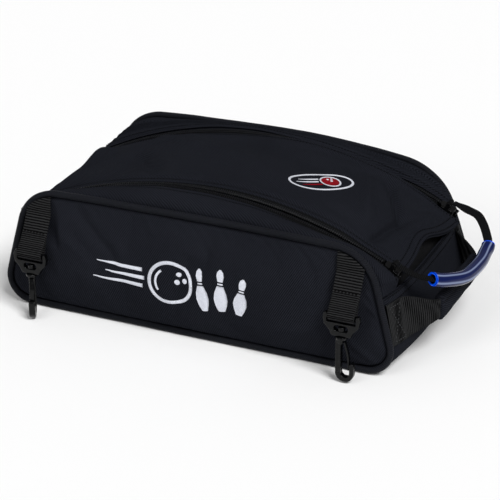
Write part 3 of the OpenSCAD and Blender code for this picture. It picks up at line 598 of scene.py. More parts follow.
# %% Cloth helper
def fill_out(name, grid, sewn, pressure, slack, cap, frames=20, bend=1.2):
    """Grid after a cloth simulation with its sewn points pinned, pressure inside and slack as extra cloth."""
    rows, cols = grid.shape[:2]
    faces = quads(rows, cols)
    obj = new_mesh(name + "_cloth", grid.reshape(-1, 3), [faces])
    group = obj.vertex_groups.new(name="sewn")
    group.add(np.flatnonzero(sewn.ravel()).tolist(), 1.0, "REPLACE")
    cloth = obj.modifiers.new("cloth", "CLOTH")
    s = cloth.settings
    s.quality, s.mass = 8, 0.2
    s.tension_stiffness = s.compression_stiffness = 30
    s.shear_stiffness, s.bending_stiffness = 12, bend
    s.use_pressure, s.uniform_pressure_force = True, pressure
    s.vertex_group_mass = "sewn"
    s.shrink_min = -slack
    s.effector_weights.gravity = 0
    cloth.collision_settings.use_collision = False
    cloth.point_cache.frame_start, cloth.point_cache.frame_end = 1, frames
    scene = bpy.context.scene
    for step in range(1, frames + 1):
        scene.frame_set(step)
    done = obj.evaluated_get(bpy.context.evaluated_depsgraph_get()).data
    after = np.empty(rows * cols * 3, np.float32)
    done.vertices.foreach_get("co", after)
    move = after.reshape(grid.shape).astype(float) / MM - grid
    far = np.linalg.norm(move, axis=-1, keepdims=True)
    bpy.data.objects.remove(obj)
    scene.frame_set(1)
    print(f"{name}: cloth moved up to {far.max():.1f} mm, {far.mean():.1f} mm on average")
    return grid + move * np.minimum(1, cap / np.maximum(far, 1e-6))


def cover(name, face, back, nodes, uv_grid=None, finish=twill):
    """A padded piece of the bag's cover."""
    return dress(shell(name, face, back, uv_grid), finish, "bag", nodes)


print("cloth helpers ready")

# %% [markdown]
# ## Front and rear padded panels
# Each panel is twill over foam, sewn into the piping all round. Its grid runs up the side of the
# outline in rows and from left to right in columns, so that the edge columns lie on the seam. The
# panel rolls off the piping, swells towards the middle, a little lower than half height where the
# contents press, and puckers along the seam. Face and back close into one padded piece.

# %% Padded panels
SEAM_IN, PANEL_CROWN, CROWN_DROP, UNDER_STRAP = PIPING_R - 0.5, 12.5, 0.22, 2.4
DENTS = (((-152, 98), (-95, 58), 6, 2.4), ((-118, 108), (-66, 66), 6, -3.0), ((-46, 108), (14, 86), 7, 1.8),
         ((20, 112), (96, 84), 8, -2.2), ((42, 22), (132, 40), 5, 2.0), ((60, 12), (150, 30), 5, -2.2),
         ((-170, 70), (-128, 36), 9, -2.6), ((172, 60), (140, 26), 8, -2.4), ((146, 36), (182, 8), 3.2, 1.5),
         ((138, 24), (174, 6), 3.2, 1.2))


def panel_grid(panel, side, rows=64, cols=150):
    """Panel face: x runs across the outline's width at each row, z rises to the arched top, y comes out by
    roll, crown and puckers."""
    right, left = (side_edge(half, SEAM_IN, rows) for half in panel)
    u = crowded(cols, 0.86)
    x = np.where(u > 0, right[:, :1] * u, left[:, :1] * u)
    share = np.linspace(0, 1, rows)[:, None]
    side_z = np.where(u > 0, right[:, 1:], left[:, 1:])
    top = np.where(x[-1] > 0, top_edge(panel[0], x[-1]), top_edge(panel[1], x[-1])) - SEAM_IN
    z = side_z + (top - side_z[-1]) * smooth(0.2, 1, share)
    low, high = right[0, 1], top[None, :]
    height = (z - low) / (high - low) * 2 - 1
    gaps = np.stack([np.where(u > 0, right[:, :1] - x, left[:, :1] + x), z - low, high - z])
    seam = np.maximum(0, -4 * np.log(np.exp(-gaps / 4).sum(0)))
    lean = height + CROWN_DROP * (1 - height ** 2)
    crown = PANEL_CROWN * (1 - np.abs(u) ** 3.2) * (1 - np.abs(lean) ** 2.4)
    roll = 4.6 * (1 - np.exp(-seam / 1.6)) - 2.6
    near_seam = np.exp(-seam / 7) * (1 - np.exp(-seam / 2))
    pucker = 0.35 * near_seam * np.sin((x + 1.3 * z) / 1.9 + 2 * soft_noise(x, z, 60, 5))
    waver = 1.3 * soft_noise(x, z, 80, 3 if side < 0 else 4) * np.clip(seam / 30, 0, 1)
    dents = folds(x, z, DENTS) * np.clip(seam / 8, 0, 1)
    y = side * (HALF_DEPTH - 0.6 + roll + crown + pucker + waver + dents)
    return np.stack([x, y, z], -1), seam


def under_straps(face):
    """Front face held back behind the hook straps: y may come out by UNDER_STRAP there and by more with distance."""
    beside = np.clip((np.abs(np.abs(face[..., 0]) - STRAP_X) - 13.5) / 16, 0, 1)
    below = np.clip((84 - face[..., 2]) / 26, 0, 1)
    most = UNDER_STRAP + 14 * smooth(0, 1, np.maximum(beside, below))
    out = -face[..., 1] - HALF_DEPTH
    held = most - 0.9 * np.logaddexp(0, (most - out) / 0.9)
    return np.stack([face[..., 0], -HALF_DEPTH - held, face[..., 2]], -1)


def padded_panel(name, panel, side, nodes):
    """Panel face filled out by cloth, with a back 5 mm inside that thins to the seam."""
    face, seam = panel_grid(panel, side)
    sewn = seam < 2.5
    sewn[[0, -1]] = True
    sewn[:, [0, -1]] = True
    face = fill_out(name, face[:, ::side], sewn[:, ::side], 3.0, 0.012, 5.0)[:, ::side]
    if side < 0:
        face = under_straps(face)
    back = face - np.array([0, side, 0]) * mix(1.4, 5.2, smooth(0, 12, seam))[..., None]
    cover(name, face, back, nodes, face[..., [2, 0]] * MM)
    return face


front_face = padded_panel("front_padded_panel", FRONT, -1, ("front_panel", "front_foam"))
padded_panel("rear_padded_panel", REAR, 1, ("rear_panel", "rear_foam"))

# %% [markdown]
# ## Piping
# A cord wrapped in a strip of bias-cut twill runs round both panels. It is a circle carried along the
# outline; slow noise in its radius keeps it from looking like a moulding.

# %% Piping
def piping(name, panel, side, node, count=520, sides=14):
    """Circle of about 3 mm carried round the outline, uneven by a few hundredths."""
    path = outline(panel, 0.0, count)
    along = unit(np.roll(path, -1, 0) - np.roll(path, 1, 0))
    out = np.stack([along[:, 1], -along[:, 0]], -1)
    angle = around(sides)
    at = np.arange(count) * 1.9
    r = PIPING_R * (1 + 0.025 * soft_noise(at, at * 0.3, 24, 8))[:, None]
    sway = 0.25 * soft_noise(at, at * 0.2, 70, 9)[:, None]
    spread = r * np.cos(angle) + sway
    rings = np.stack([path[:, :1] + out[:, :1] * spread, side * HALF_DEPTH + r * np.sin(angle),
                      path[:, 1:] + out[:, 1:] * spread], -1)
    dress(tube(name, rings, closed=True), piping_cloth, "bag", (node,))


piping("front_piping_cord", FRONT, -1, "front_piping")
piping("rear_piping_cord", REAR, 1, "rear_piping")

# %% [markdown]
# ## End panels
# The end panels bow out between the front and rear seams. Their grid interpolates the two outlines
# from front to rear and moves each point out along the outline's normal by the swell.

# %% End panels
SIDE_ROWS, ARC_ROWS = 46, 24
SWELL, SWELL_RISE = {1: 12.0, -1: 5.0}, 37.0
HEM_ROWS = (2.2, 7.4)


def side_with_normals(half, top):
    """Points up the side of a panel's half to height top, with their outward normals."""
    low, _, lean, _ = corner_circles(half)
    a = np.linspace(-np.pi / 2, lean, ARC_ROWS)
    normal = np.stack([np.cos(a), np.sin(a)], -1)
    arc = low + BOTTOM_R * normal
    foot, tip = arc[-1], normal[-1]
    reach = (top - foot[1]) / tip[0]
    straight = foot + np.linspace(0, reach, SIDE_ROWS - ARC_ROWS + 1)[1:, None] * np.array([-tip[1], tip[0]])
    return np.concatenate([arc, straight]), np.concatenate([normal, np.repeat(tip[None], len(straight), 0)])


def swell(y, z, hand=1):
    """Bulge of an end panel: a quarter of a sine wave up from the piping, times a cubic in y."""
    rise = SWELL[hand] * np.sin(np.pi / 2 * np.clip((z - PIPING_R) / SWELL_RISE, 0, 1))
    return rise * (1 - (np.abs(y) / HALF_DEPTH) ** 3)


def end_face(y, hand=1):
    """End panel at each y as [y, row, xz]: blend of both outlines, moved out by the swell, the left end less."""
    sides = [side_with_normals(panel[0 if hand > 0 else 1], SEAM_Z) for panel in (FRONT, REAR)]
    share = ((y + HALF_DEPTH) / (2 * HALF_DEPTH))[:, None, None]
    p, n = (mix(front, rear, share) for front, rear in zip(*sides))
    under = np.maximum(0, -n[..., 1])
    return p + n * (PIPING_R * under + 0.2 * (1 - under) + swell(y[:, None], p[..., 1], hand))[..., None]


def end_panel(name, hand, node):
    """End panel with a rolled edge at each piping, soft unevenness and a folded hem along its top."""
    y = SHEET_Y * crowded(90, 0.9)
    flat = end_face(y, hand)
    grid = np.stack([hand * flat[..., 0], np.repeat(y[:, None], SIDE_ROWS, 1), flat[..., 1]], -1)
    normal = normals_of(grid, [hand, 0, 0.01])
    edge = SHEET_Y - np.abs(grid[..., 1])
    top = np.clip(grid[:, -1:, 2] - grid[..., 2], 0, None)
    uneven = 0.8 * soft_noise(grid[..., 1], grid[..., 2], 70, 11 + hand)
    hem = 0.9 * (1 - smooth(8.5, 10, top)) + sum(groove(top - inset) for inset in HEM_ROWS)
    relief = (uneven * np.clip(edge / 25, 0, 1) * np.clip(grid[..., 2] / 25, 0, 1) - 1.3 * np.exp(-edge / 3)
              + hem * np.clip(edge / 5, 0, 1))
    face = grid + normal * relief[..., None]
    cover(name, face, face - normal * 3.0, (node,))
    return face, normal


right_face, right_normal = end_panel("right_end_cloth", 1, "right_end_panel")
left_face, left_normal = end_panel("left_end_cloth", -1, "left_end_panel")

# %% [markdown]
# ## Gussets
# A gusset is the strip between the piping and the zip. It is ruled from the outline to the zip's arc,
# swells a little between, dips at the piping and ends in a folded edge over the zip tape. Low on the
# sides it runs into the end panel's top edge.

# %% Gussets
def arc_top(x):
    """Height of the zips' circle over x."""
    return ZIP_AXIS_Z + np.sqrt(ZIP_R ** 2 - x ** 2)


def zip_tilt(x):
    """Slope across the zips: the full lid rides up and the gusset's edge hangs lower, except by the sliders."""
    return 0.36 * smooth(-60, 60, x) * (1 - smooth(124, 154, x))


GUSSET_BAND, GUSSET_STITCH, GUSSET_COLS, KNEE_Z = 20.0, 3.0, 26, 83.5


def gusset(name, panel, side, node, count=260, cols=GUSSET_COLS):
    """Rows along the seam from the right end over the top to the left, columns from piping to zip."""
    halves = [over_top(half, 0.0, 900) for half in panel]
    right, left = (half[half[:, 1] > SEAM_Z + 0.3] for half in halves)
    seam = even(np.concatenate([right, left[-2::-1] * [-1, 1]]), count)
    reaches = [high[0] + half[1] * np.cos(lean) for half in panel for _, high, lean, _ in [corner_circles(half)]]
    reach = np.where(seam[:, 0] > 0, *reaches)
    carried = seam[:, 0] * ZIP_END_X / reach
    share = smooth(SEAM_Z, KNEE_Z, seam[:, 1])
    beyond = np.abs(carried) > ZIP_END_X
    inside = np.clip(carried, -ZIP_END_X, ZIP_END_X)
    zip_x = np.where(beyond, np.sign(carried) * mix(ZIP_END_X - 1, ZIP_END_X, share), inside)
    zip_z = np.where(beyond, mix(SEAM_Z + 0.2, KNEE_Z, share), arc_top(inside) + 1.0)
    s = np.linspace(0, 1, cols)[None, :]
    y = side * mix(SHEET_Y, GUSSET_Y + 0.2, s) * np.ones((count, 1))
    x = mix(seam[:, :1], zip_x[:, None], s)
    z = mix(seam[:, 1:], zip_z[:, None], s)
    ends = [end_face(y[0], hand)[:, -1] for hand in (1, -1)]
    end = np.where(seam[:, :1, None] > 0, ends[0][None], ends[1][None])
    foot = 1 - smooth(0, 9, seam[:, 1] - SEAM_Z)[:, None]
    x = mix(x, np.sign(x) * end[..., 0], foot)
    z = mix(z, end[..., 1] + 0.3 + (seam[:, 1:] - SEAM_Z), foot)
    grid = np.stack([x, y, z], -1)
    normal = normals_of(grid)
    normal *= np.sign(normal[count // 2, cols // 2, 2])
    from_piping, from_zip = s * GUSSET_BAND, (1 - s) * GUSSET_BAND
    loose = mix(0.1, 1, smooth(-186, -126, seam[:, :1]))
    puff = 16 * s * (1 - s) * smooth(SEAM_Z, SEAM_Z + 20, seam[:, 1:]) * (loose if side < 0 else 1)
    lip = 1.3 * (1 - smooth(-70, 110, x)) * bell(from_zip, 6)
    sunk = 6.8 * zip_tilt(x) * bell(from_zip, 9)
    hem = (0.5 * (1 - smooth(3.6, 4.6, from_zip)) - 0.5 * np.exp(-from_zip / 0.7)
           + groove(from_zip - GUSSET_STITCH, 0.3, 0.7))
    gathers = 0.9 * (1 + np.sin(x * 1.5 + 2 * soft_noise(x, y, 30, 22))) * bell(from_zip - 9.5, 2.6) * (side > 0)
    relief = (puff + lip - sunk - 3.0 * np.exp(-from_piping / 1.3) + hem - gathers
              + 0.35 * soft_noise(x, y, 45, 21) * np.clip(from_piping / 5, 0, 1)
              + 0.22 * np.sin(x / 1.7 + z) * np.exp(-from_piping / 4))
    face = grid + normal * relief[..., None]
    back = face - normal * 2.4
    back[..., 1] = side * np.clip(np.abs(back[..., 1]), GUSSET_Y - 0.4, SHEET_Y)
    cover(name, face, back, (node,))
    return face, normal


front_gusset_face, front_gusset_normal = gusset("front_gusset_cloth", FRONT, -1, "front_gusset")
rear_gusset_face, rear_gusset_normal = gusset("rear_gusset_cloth", REAR, 1, "rear_gusset")

# %% [markdown]
# ## Lid
# The lid is the padded band between the zips. It lies on the zips' circle with a low crown and sags a
# little left of the middle. Used cloth keeps its folds: from a slanting ridge it slopes to where it is sewn
# down, a broad fold crosses it and soft dents lie before the free end. That end hangs lower
# at the rear and gapes in the middle. Its long edges are folded over the zip tapes, and cloth fills it
# out between them.

# %% Lid
LID_CROWN, LID_IN = 2.8, LID_Y - 0.2
LID_STITCH, LID_END_ROWS = 4.2, (3.0, 9.0)
LESSER_CREASES = (((-148, -10), (-157, 54), 2.6, 3.6), ((-156, -24), (-168, 42), 2.6, 2.6))
LID_FOLDS = (((-110, 50), (70, -38), 15.0, 3.2), ((-70, 62), (80, 12), 15.0, -3.4), ((-112, 6), (-58, -48), 10.0, -4.6),
             ((124, 56), (158, -2), 5.5, -6.6), ((160, 8), (150, -56), 4.5, -6.4), ((108, 46), (138, -44), 6.0, 4.2),
             ((172, 40), (166, -40), 4.0, 2.4))


def left_slope(x, y):
    """Height of the lid's left part: a crease from (-165, -63) along (70, 126) fades towards the free end; left of
    it lies a hollow with two lesser creases, then a shoulder, higher at the rear, where the cloth turns down."""
    left = (-(x + 165) * 126 + (y + 63) * 70) / np.hypot(70, 126)
    crest = np.where(left > 0, 4.6 - 5.0 * smooth(0, 10, left), 4.6 * np.exp(np.minimum(left, 0) / 22))
    tall = 2.2 + 5.0 * smooth(4, 44, y)
    shoulder = tall * bell(np.maximum(0, x + 171), 11) - (tall + 9) * smooth(170, 187, -x)
    return (crest + folds(x, y, LESSER_CREASES) + shoulder) * smooth(0, 16, LID_Y - np.abs(y))


def lid_grid(rows=240, cols=64):
    """Rows along the zips' circle, closer at the free end, columns across; radius is the circle plus crown,
    sag, folds, hems and stitch grooves."""
    y = LID_IN * crowded(cols, 0.8)[None, :]
    share = np.linspace(0, 1, rows)[:, None]
    share = share + 0.4 * (share ** 2 - share) * (1 - share)
    start = ZIP_START - 1.1 * smooth(-30, LID_Y, y) + 0.9 * bell(y + 8, 26)
    angle = np.radians(mix(start, ZIP_STOP, share))
    from_end = (angle - np.radians(start)) * ZIP_R
    edge = LID_IN - np.abs(y) + 0 * angle
    x = ZIP_R * np.cos(angle)
    inner = np.clip(edge / 20, 0, 1)
    crown = LID_CROWN * (1 - np.abs(y / LID_Y) ** 3.2)
    sag = -3.4 * bell(x + 95, 70) * (1 - (y / LID_Y) ** 2)
    rolled = 3.4 * bell(edge, 8) * smooth(-30, 60, x) * (1 - smooth(150, 176, x)) * (y > 0)
    gape = 4.5 * bell(y + 6, 24) * (1 - smooth(0, 34, from_end))
    hem = 0.5 * (1 - smooth(5.2, 6.4, edge)) - 0.9 * np.exp(-edge / 0.8) + groove(edge - LID_STITCH, 0.3, 0.8)
    end_hem = 0.5 * (1 - smooth(10.5, 12.5, from_end)) + sum(groove(from_end - at, 0.4, 1.2) for at in LID_END_ROWS)
    waver = 0.8 * soft_noise(x, y + 0 * x, 90, 31)
    riding = 6.7 * zip_tilt(x) * mix(0.25, 1, bell(edge, 14))
    r = (ZIP_R + 1.0 + riding + crown + sag + left_slope(x, y) + (folds(x, y, LID_FOLDS) + waver) * inner + rolled
         + gape + hem + end_hem * np.clip(edge / 4, 0, 1))
    return np.stack([r * np.cos(angle), y + 0 * angle, ZIP_AXIS_Z + r * np.sin(angle)], -1), edge, from_end


lid_face, lid_edge, lid_from_end = lid_grid()
lid_sewn = (lid_edge < 6) | (lid_from_end < 12) | (lid_face[..., 0] - 0.556 * (lid_face[..., 1] + 63) < -152)
lid_face = fill_out("lid", lid_face[::-1], lid_sewn[::-1], 1.5, 0.012, 3.0)[::-1]
lid_normal = normals_of(lid_face, [0, 0, 1])
lid_back = lid_face - lid_normal * mix(2.0, 3.0, smooth(0, 10, lid_edge))[..., None]
lid_back[..., 1] = np.clip(lid_back[..., 1], -LID_IN, LID_IN)
lid_round = np.arctan2(lid_face[..., 2] - ZIP_AXIS_Z, lid_face[..., 0]) * ZIP_R
lid_uv = np.stack([lid_round, lid_face[..., 1]], -1) * MM
lid_piece = dress(shell("lid_cloth", lid_face, lid_back, lid_uv), twill, None, ("lid_panel",))
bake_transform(lid_piece)

# %% [markdown]
# ## Hinge strip and base
# At the left the lid is sewn to a short strip that carries its curve down to the end panel. The base is
# a flat panel with a folded edge; a stiff board lies on it inside, and keeps its CAD shape.

# %% Hinge strip and base
def hinge_strip(rows=60, cols=18):
    """Strip from the left end panel's top edge up to the lid's end, following both."""
    y = np.linspace(0.2 - GUSSET_Y, GUSSET_Y - 0.2, rows)
    foot = end_face(y, -1)[:, -1] + [0, 0.3]
    r = ZIP_R + 1 + LID_CROWN * (1 - (np.minimum(np.abs(y), LID_Y) / LID_Y) ** 3.2) + left_slope(-ZIP_END_X, y)
    out = np.array([np.cos(np.radians(ZIP_START)), np.sin(np.radians(ZIP_START))])
    down = np.array([out[1], -out[0]])
    head = np.array([0, ZIP_AXIS_Z]) + r[:, None] * out + down * 0.5
    curve = bent(foot, head + down * 5, head[:, None], cols)
    return np.stack([-curve[..., 0], np.repeat(y[:, None], cols, 1), curve[..., 1]], -1)


hinge_face = hinge_strip()
cover("hinge_cloth", hinge_face, hinge_face - normals_of(hinge_face, [-1, 0, 0.5]) * 2.8, ("hinge_strip",))

BASE_HALF = 167.0
base_x = np.linspace(-BASE_HALF, BASE_HALF, 110)[:, None]
base_y = np.linspace(-SHEET_Y, SHEET_Y, 60)[None, :]
base_edge = np.minimum(BASE_HALF - np.abs(base_x), SHEET_Y - np.abs(base_y))
base_lift = 1.4 * np.exp(-base_edge / 2.5) + 0.12 * (1 + soft_noise(base_x, base_y, 60, 41))
base_low, base_high = (np.stack(np.broadcast_arrays(base_x, base_y, z), -1)
                       for z in (base_lift, 3.0 - 0.4 * np.exp(-base_edge / 3)))
cover("base_cloth", base_low, base_high, ("base_panel",))
repaint("base_board", board)

# %% [markdown]
# ## Embroidery
# The front panel carries white satin stitch and the lid a small badge. On a real bag a machine lays
# threads side by side across each stroke, so a stroke here is a path with a width, domed across and set
# on the cloth's height.

# %% Strokes of thread
def height_over(a, b, h, a_line, b_line):
    """Height h of a grid over its own plane at even lines of a and b: along each row first, then across."""
    along = np.array([[np.interp(a_line, ar, v) for v in (br, hr)] for ar, br, hr in zip(a, b, h)]).transpose(1, 2, 0)
    table = np.stack([np.interp(b_line, br, hr) for br, hr in zip(*along)])

    def at(p, q):
        """Height at p and q, straight between the nearest four lines."""
        i = np.clip((p - a_line[0]) / (a_line[1] - a_line[0]), 0, len(a_line) - 1.001)
        j = np.clip((q - b_line[0]) / (b_line[1] - b_line[0]), 0, len(b_line) - 1.001)
        i0, j0 = i.astype(int), j.astype(int)
        low, high = (mix(table[i0, j0 + k], table[i0 + 1, j0 + k], i - i0) for k in (0, 1))
        return mix(low, high, j - j0)

    return at


def stroke(path, half):
    """Satin stitch along a path as [row, column, (a, b, rise)]: half its width to either side, domed."""
    path, half = np.asarray(path, float), np.broadcast_to(half, len(path))[:, None]
    along = unit(np.gradient(path, axis=0))
    side = np.stack([-along[:, 1], along[:, 0]], -1)
    s = np.linspace(-1, 1, 7)
    flat = path[:, None] + side[:, None] * (half * s)[..., None]
    rise = 0.2 + 0.55 * np.sqrt(1 - s ** 2) * np.minimum(1, half / 1.2)
    return np.concatenate([flat, rise[..., None]], -1)


def arc(centre, radius, start, end, half, flat=1.0):
    """Stroke round part of a circle, or of an oval that is flat times as high as wide."""
    t = np.radians(np.linspace(start, end, max(12, int(abs(end - start) / 4))))
    return stroke(np.asarray(centre) + radius * np.stack([np.cos(t), flat * np.sin(t)], -1), half)


def disc(centre, radius):
    """Filled circle: a straight stroke whose width follows the circle."""
    t = np.linspace(-0.995, 0.995, 21) * radius
    return stroke(np.asarray(centre) + np.stack([t, 0 * t], -1), np.sqrt(radius ** 2 - t ** 2))


def line(start, end, half):
    """Straight stroke from start to end; half may be a list of widths along it."""
    half = np.interp(np.linspace(0, 1, 24), np.linspace(0, 1, np.size(half)), np.ravel(half))
    return stroke(mix(np.array(start), np.array(end), np.linspace(0, 1, 24)[:, None]), half)


def pin(foot, height, lean):
    """A bowling pin of two strokes, body and head, with a bare stripe at the neck; lean in degrees."""
    share = [0, 0.15, 0.3, 0.45, 0.6, 0.68, 0.75, 0.85, 0.94, 1]
    width = [0.07, 0.125, 0.155, 0.14, 0.085, 0.06, 0.065, 0.085, 0.072, 0.02]
    up = np.array([-np.sin(np.radians(lean)), np.cos(np.radians(lean))])
    parts = []
    for low, high in ((0, 0.62), (0.66, 0.69), (0.73, 1)):
        t = np.linspace(low, high, 30)
        parts.append(stroke(np.asarray(foot) + up * t[:, None] * height, height * np.interp(t, share, width)))
    return parts


def embroider(name, strokes, place, finish, body):
    """All the strokes of one colour as closed domes, set on the cloth by place(a, b, rise), 0.5 mm into it."""
    parts = []
    for a, b, rise in (grid.transpose(2, 0, 1) for grid in strokes):
        parts.append(shell_parts(place(a, b, rise), place(a, b, 0 * rise - 0.5)))
    shift = np.concatenate([[0], np.cumsum([len(part[0]) for part in parts])])
    points, uv = (np.concatenate([part[k] for part in parts]) for k in (0, 2))
    faces = np.concatenate([part[1] + k for part, k in zip(parts, shift)])
    return dress(new_mesh(name, points, [faces], uv), finish, body)


print("stroke helpers ready")

# %% [markdown]
# ## Motif and badge
# The front shows a ball that rolls at three pins, with speed lines behind it. The lid's badge is an oval
# ring, turned by 47 degrees, with a red ball and lines. Their height is read off the cloth, so the thread
# follows every fold.

# %% Motif and badge
front_x, front_out, front_up = front_face.transpose(2, 0, 1)
front_y = height_over(front_x, front_up, front_out, np.arange(-120, 80.0), np.arange(20, 100.0))
lid_z = height_over(*lid_face[::-1].transpose(2, 1, 0), np.arange(40, 130.0), np.arange(-50, 40.0))


def on_front(a, b, rise):
    """Points on the front panel at x and height z."""
    return np.stack([a, front_y(a, b) - rise, b], -1)


def on_lid(a, b, rise):
    """Points on the lid from the badge's own length and width directions."""
    x, y = 84 + 0.68 * a - 0.73 * b, -7 + 0.73 * a + 0.68 * b
    return np.stack([x, y, lid_z(x, y) + rise], -1)


SPEED_LINE, BADGE_LINE = [0.4, 1.6, 1.9], [0.3, 0.9, 1]
rolling = [line((-93, 50), (-42, 50), SPEED_LINE), line((-80, 58), (-40, 58), SPEED_LINE),
           line((-89, 66), (-42, 66), SPEED_LINE), arc((-15, 57), 20, 0, 360, 1.7),
           arc((-15, 57), 14, 125, 215, 1.1), disc((-7, 66), 2.4), disc((-1.5, 60.5), 2.4), disc((-9, 58), 2.6)]
pins = pin((19, 36), 40, 9) + pin((35, 38), 42, 0) + pin((50, 36), 40, -11)
embroider("front_motif", rolling + pins, on_front, white_satin, "bag")
badge = [arc((0, 0), 31, 0, 360, 1.1, 0.48), arc((9, 0), 9.2, 0, 360, 0.8), disc((8, 4), 1.2), disc((12, 4.6), 1.2),
         disc((10.5, 0.6), 1.3), line((-25, 0), (-3, 0), BADGE_LINE), line((-21, 5), (-1, 5), BADGE_LINE)]
embroider("lid_badge_white", badge, on_lid, white_satin, "lid")
ball_x = np.linspace(0.6, 17.4, 40)
ball_half = np.sqrt(np.maximum(0.01, 72 - (ball_x - 9) ** 2))
low_ball = stroke(np.stack([ball_x, 0 * ball_x], -1), ball_half) * [1, 1, 0.25]
embroider("lid_badge_red", [low_ball, line((-21, -5), (-1, -5), BADGE_LINE)], on_lid, red_satin, "lid")

# %% [markdown]
# ## Inner flap
# A fuzzy lining flap is sewn inside the right end panel and tucks under the lid's free end, so the
# gaping mouth shows cloth and no hole. It is a curve from the panel's inside over a knee to a line under
# the lid, carried from front to rear and rippled.

# %% Inner flap
def inner_flap(rows=90, cols=26):
    """Each row is a quadratic curve: foot inside the end panel, knee near its top edge, head under the lid."""
    y = np.linspace(-66, 66, rows)
    panel_top = end_face(y)[:, -1]
    foot, knee = panel_top - [5.5, 13.0], panel_top - [3.5, -8.0]
    out = np.radians(ZIP_START + 2.4)
    head = np.array([0, ZIP_AXIS_Z]) + (ZIP_R - 3.2) * np.array([np.cos(out), np.sin(out)])
    x, z = bent(foot, knee, head, cols).transpose(2, 0, 1)
    ripple = 0.7 * soft_noise(y[:, None], z, 26, 45) * np.sin(np.pi * np.linspace(0, 1, cols))
    return np.stack([x + ripple, np.repeat(y[:, None], cols, 1), z + 0.5 * ripple], -1)


flap_face = inner_flap()
flap_normal = normals_of(flap_face)
flap_normal *= np.sign(flap_normal[len(flap_normal) // 2, flap_normal.shape[1] // 2, 0])
cover("inner_flap", flap_face, flap_face - flap_normal * 1.6, (), finish=lining)

# %% [markdown]
# ## Zips
# Each zip has two tapes and two half coils on the arc. The coil is the detail that tells a zip from a
# ribbon, so every turn of it is modelled: a short bent tube from the tape to a round head at the
# middle, repeated along the arc, with the two halves set half a pitch apart so that they mesh.

# %% Tapes and coils
def on_arc(angle, radius, y):
    """Points on the zips' circle: angle in degrees from +X, radius from the axis, y across."""
    a = np.radians(angle)
    return np.stack(np.broadcast_arrays(radius * np.cos(a), y, ZIP_AXIS_Z + radius * np.sin(a)), -1)


def tape(name, side, hand, start, body, node):
    """Ribbon beside the coil, 0.8 mm thick, with a beaded edge at the coil and a herringbone ripple."""
    near, far = ZIP_Y + hand * 2.2, ZIP_Y + hand * (ZIP_HALF + (0.6 if hand > 0 else 0.4))
    angle = np.linspace(start, ZIP_STOP, 320)[:, None]
    across = np.linspace(0, 1, 14)[None, :]
    y = side * mix(near, far, across)
    lift = 0.25 * np.exp(-across * 8) - 0.25 * across + 0.05 * np.sin(angle * 21 + across * 9)
    lift = lift + zip_tilt(ZIP_R * np.cos(np.radians(angle))) * (ZIP_Y - np.abs(y))
    face, under = (on_arc(angle, ZIP_R + level + lift, y) for level in (0.35, -0.45))
    dress(shell(name, face, under), tape_cloth, body, (node,))


COIL_IN, COIL_OUT = 0.95, 4.25
TURN_RADIUS = np.array([0.32, 0.56, 0.6, 0.6, 0.66, 0.74, 0.32])
STOP_SPAN = 0.299


def half_coil(name, side, hand, start, stop, body, node, pitch=2.0):
    """Turns of coil: each is a 6-sided tube from the tape over to a head near the middle, one per pitch. A turn lies
    between COIL_IN and COIL_OUT from the zip's middle, which is what the slider's channel leaves free."""
    step = np.degrees(pitch / ZIP_R)
    first = start + (0.5 if hand > 0 else 1.0) * step
    angles = np.arange(first, stop - step / 2, step)
    t = np.linspace(0, 1, len(TURN_RADIUS))[:, None]
    reach = mix(COIL_OUT, COIL_IN, t)
    height = 1.15 * np.sin(np.pi * np.clip(t * 0.62 + 0.3, 0, 1))
    radius, turn = TURN_RADIUS[:, None], around(6)
    along = np.degrees(radius * np.cos(turn) / ZIP_R)
    rise = height + radius * np.sin(turn)
    tilt = zip_tilt(ZIP_R * np.cos(np.radians(angles)))[:, None, None] * -hand * reach
    rings = on_arc(angles[:, None, None] + along, ZIP_R + rise + tilt, side * (ZIP_Y + hand * reach))
    caps = np.array([[5, 4, 3, 2], [5, 2, 1, 0], [36, 37, 38, 39], [36, 39, 40, 41]])
    faces = [np.concatenate([quads(*along.shape, wrap_cols=True), caps])]
    points, faces = repeated(rings.reshape(-1, 3), faces, along.size)
    dress(new_mesh(name, points, faces), coil_nylon, body, (node,))


lid_zip_start = SLIDER_AT + SLIDER_HALF + 0.9 * STOP_SPAN
bag_coil_start, coil_stop = ZIP_START + STOP_SPAN, ZIP_STOP - STOP_SPAN
for label, side in (("front", -1), ("rear", 1)):
    tape(f"{label}_tape_on_bag", side, 1, ZIP_START, "bag", f"{label}_zip_tape")
    tape(f"{label}_tape_on_lid", side, -1, lid_zip_start, "lid", f"lid_{label}_tape")
    half_coil(f"{label}_coil_on_bag", side, 1, bag_coil_start, coil_stop, "bag", f"{label}_zip_coil")
    half_coil(f"{label}_coil_on_lid", side, -1, lid_zip_start, coil_stop, "lid", f"lid_{label}_coil")

# %% [markdown]
# ## Hard pieces that keep their CAD shape
# Sliders, end stops, swivel loops, hooks and gates are right as solids. They stay, and modifiers remesh
# them finely and smooth them a little, so that every edge is rounded and catches the light as moulded
# and cast edges do.

# %% Rounded hard pieces
def round_edges(node, finish, grain, passes):
    """Weld, fine Remesh of grain mm and a few Smooth passes on a CAD node, and its finish."""
    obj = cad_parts[node]
    obj.modifiers.new("weld", "WELD").merge_threshold = 0.00001
    remesh = obj.modifiers.new("remesh", "REMESH")
    remesh.mode = "VOXEL"
    remesh.voxel_size = grain * MM
    remesh.use_smooth_shade = True
    soften = obj.modifiers.new("soften", "SMOOTH")
    soften.factor, soften.iterations = 0.5, passes
    repaint(node, finish)
    print(f"{node}: rounded in {passes} passes")


for node in ("front_slider", "rear_slider", "zip_stops"):
    round_edges(node, slider_metal, 0.3, 4)
for hand in ("left", "right"):
    for piece, passes in (("swivel_loop", 24), ("hook", 24), ("hook_gate", 9)):
        round_edges(f"{hand}_{piece}", hook_plastic, 0.36, passes)

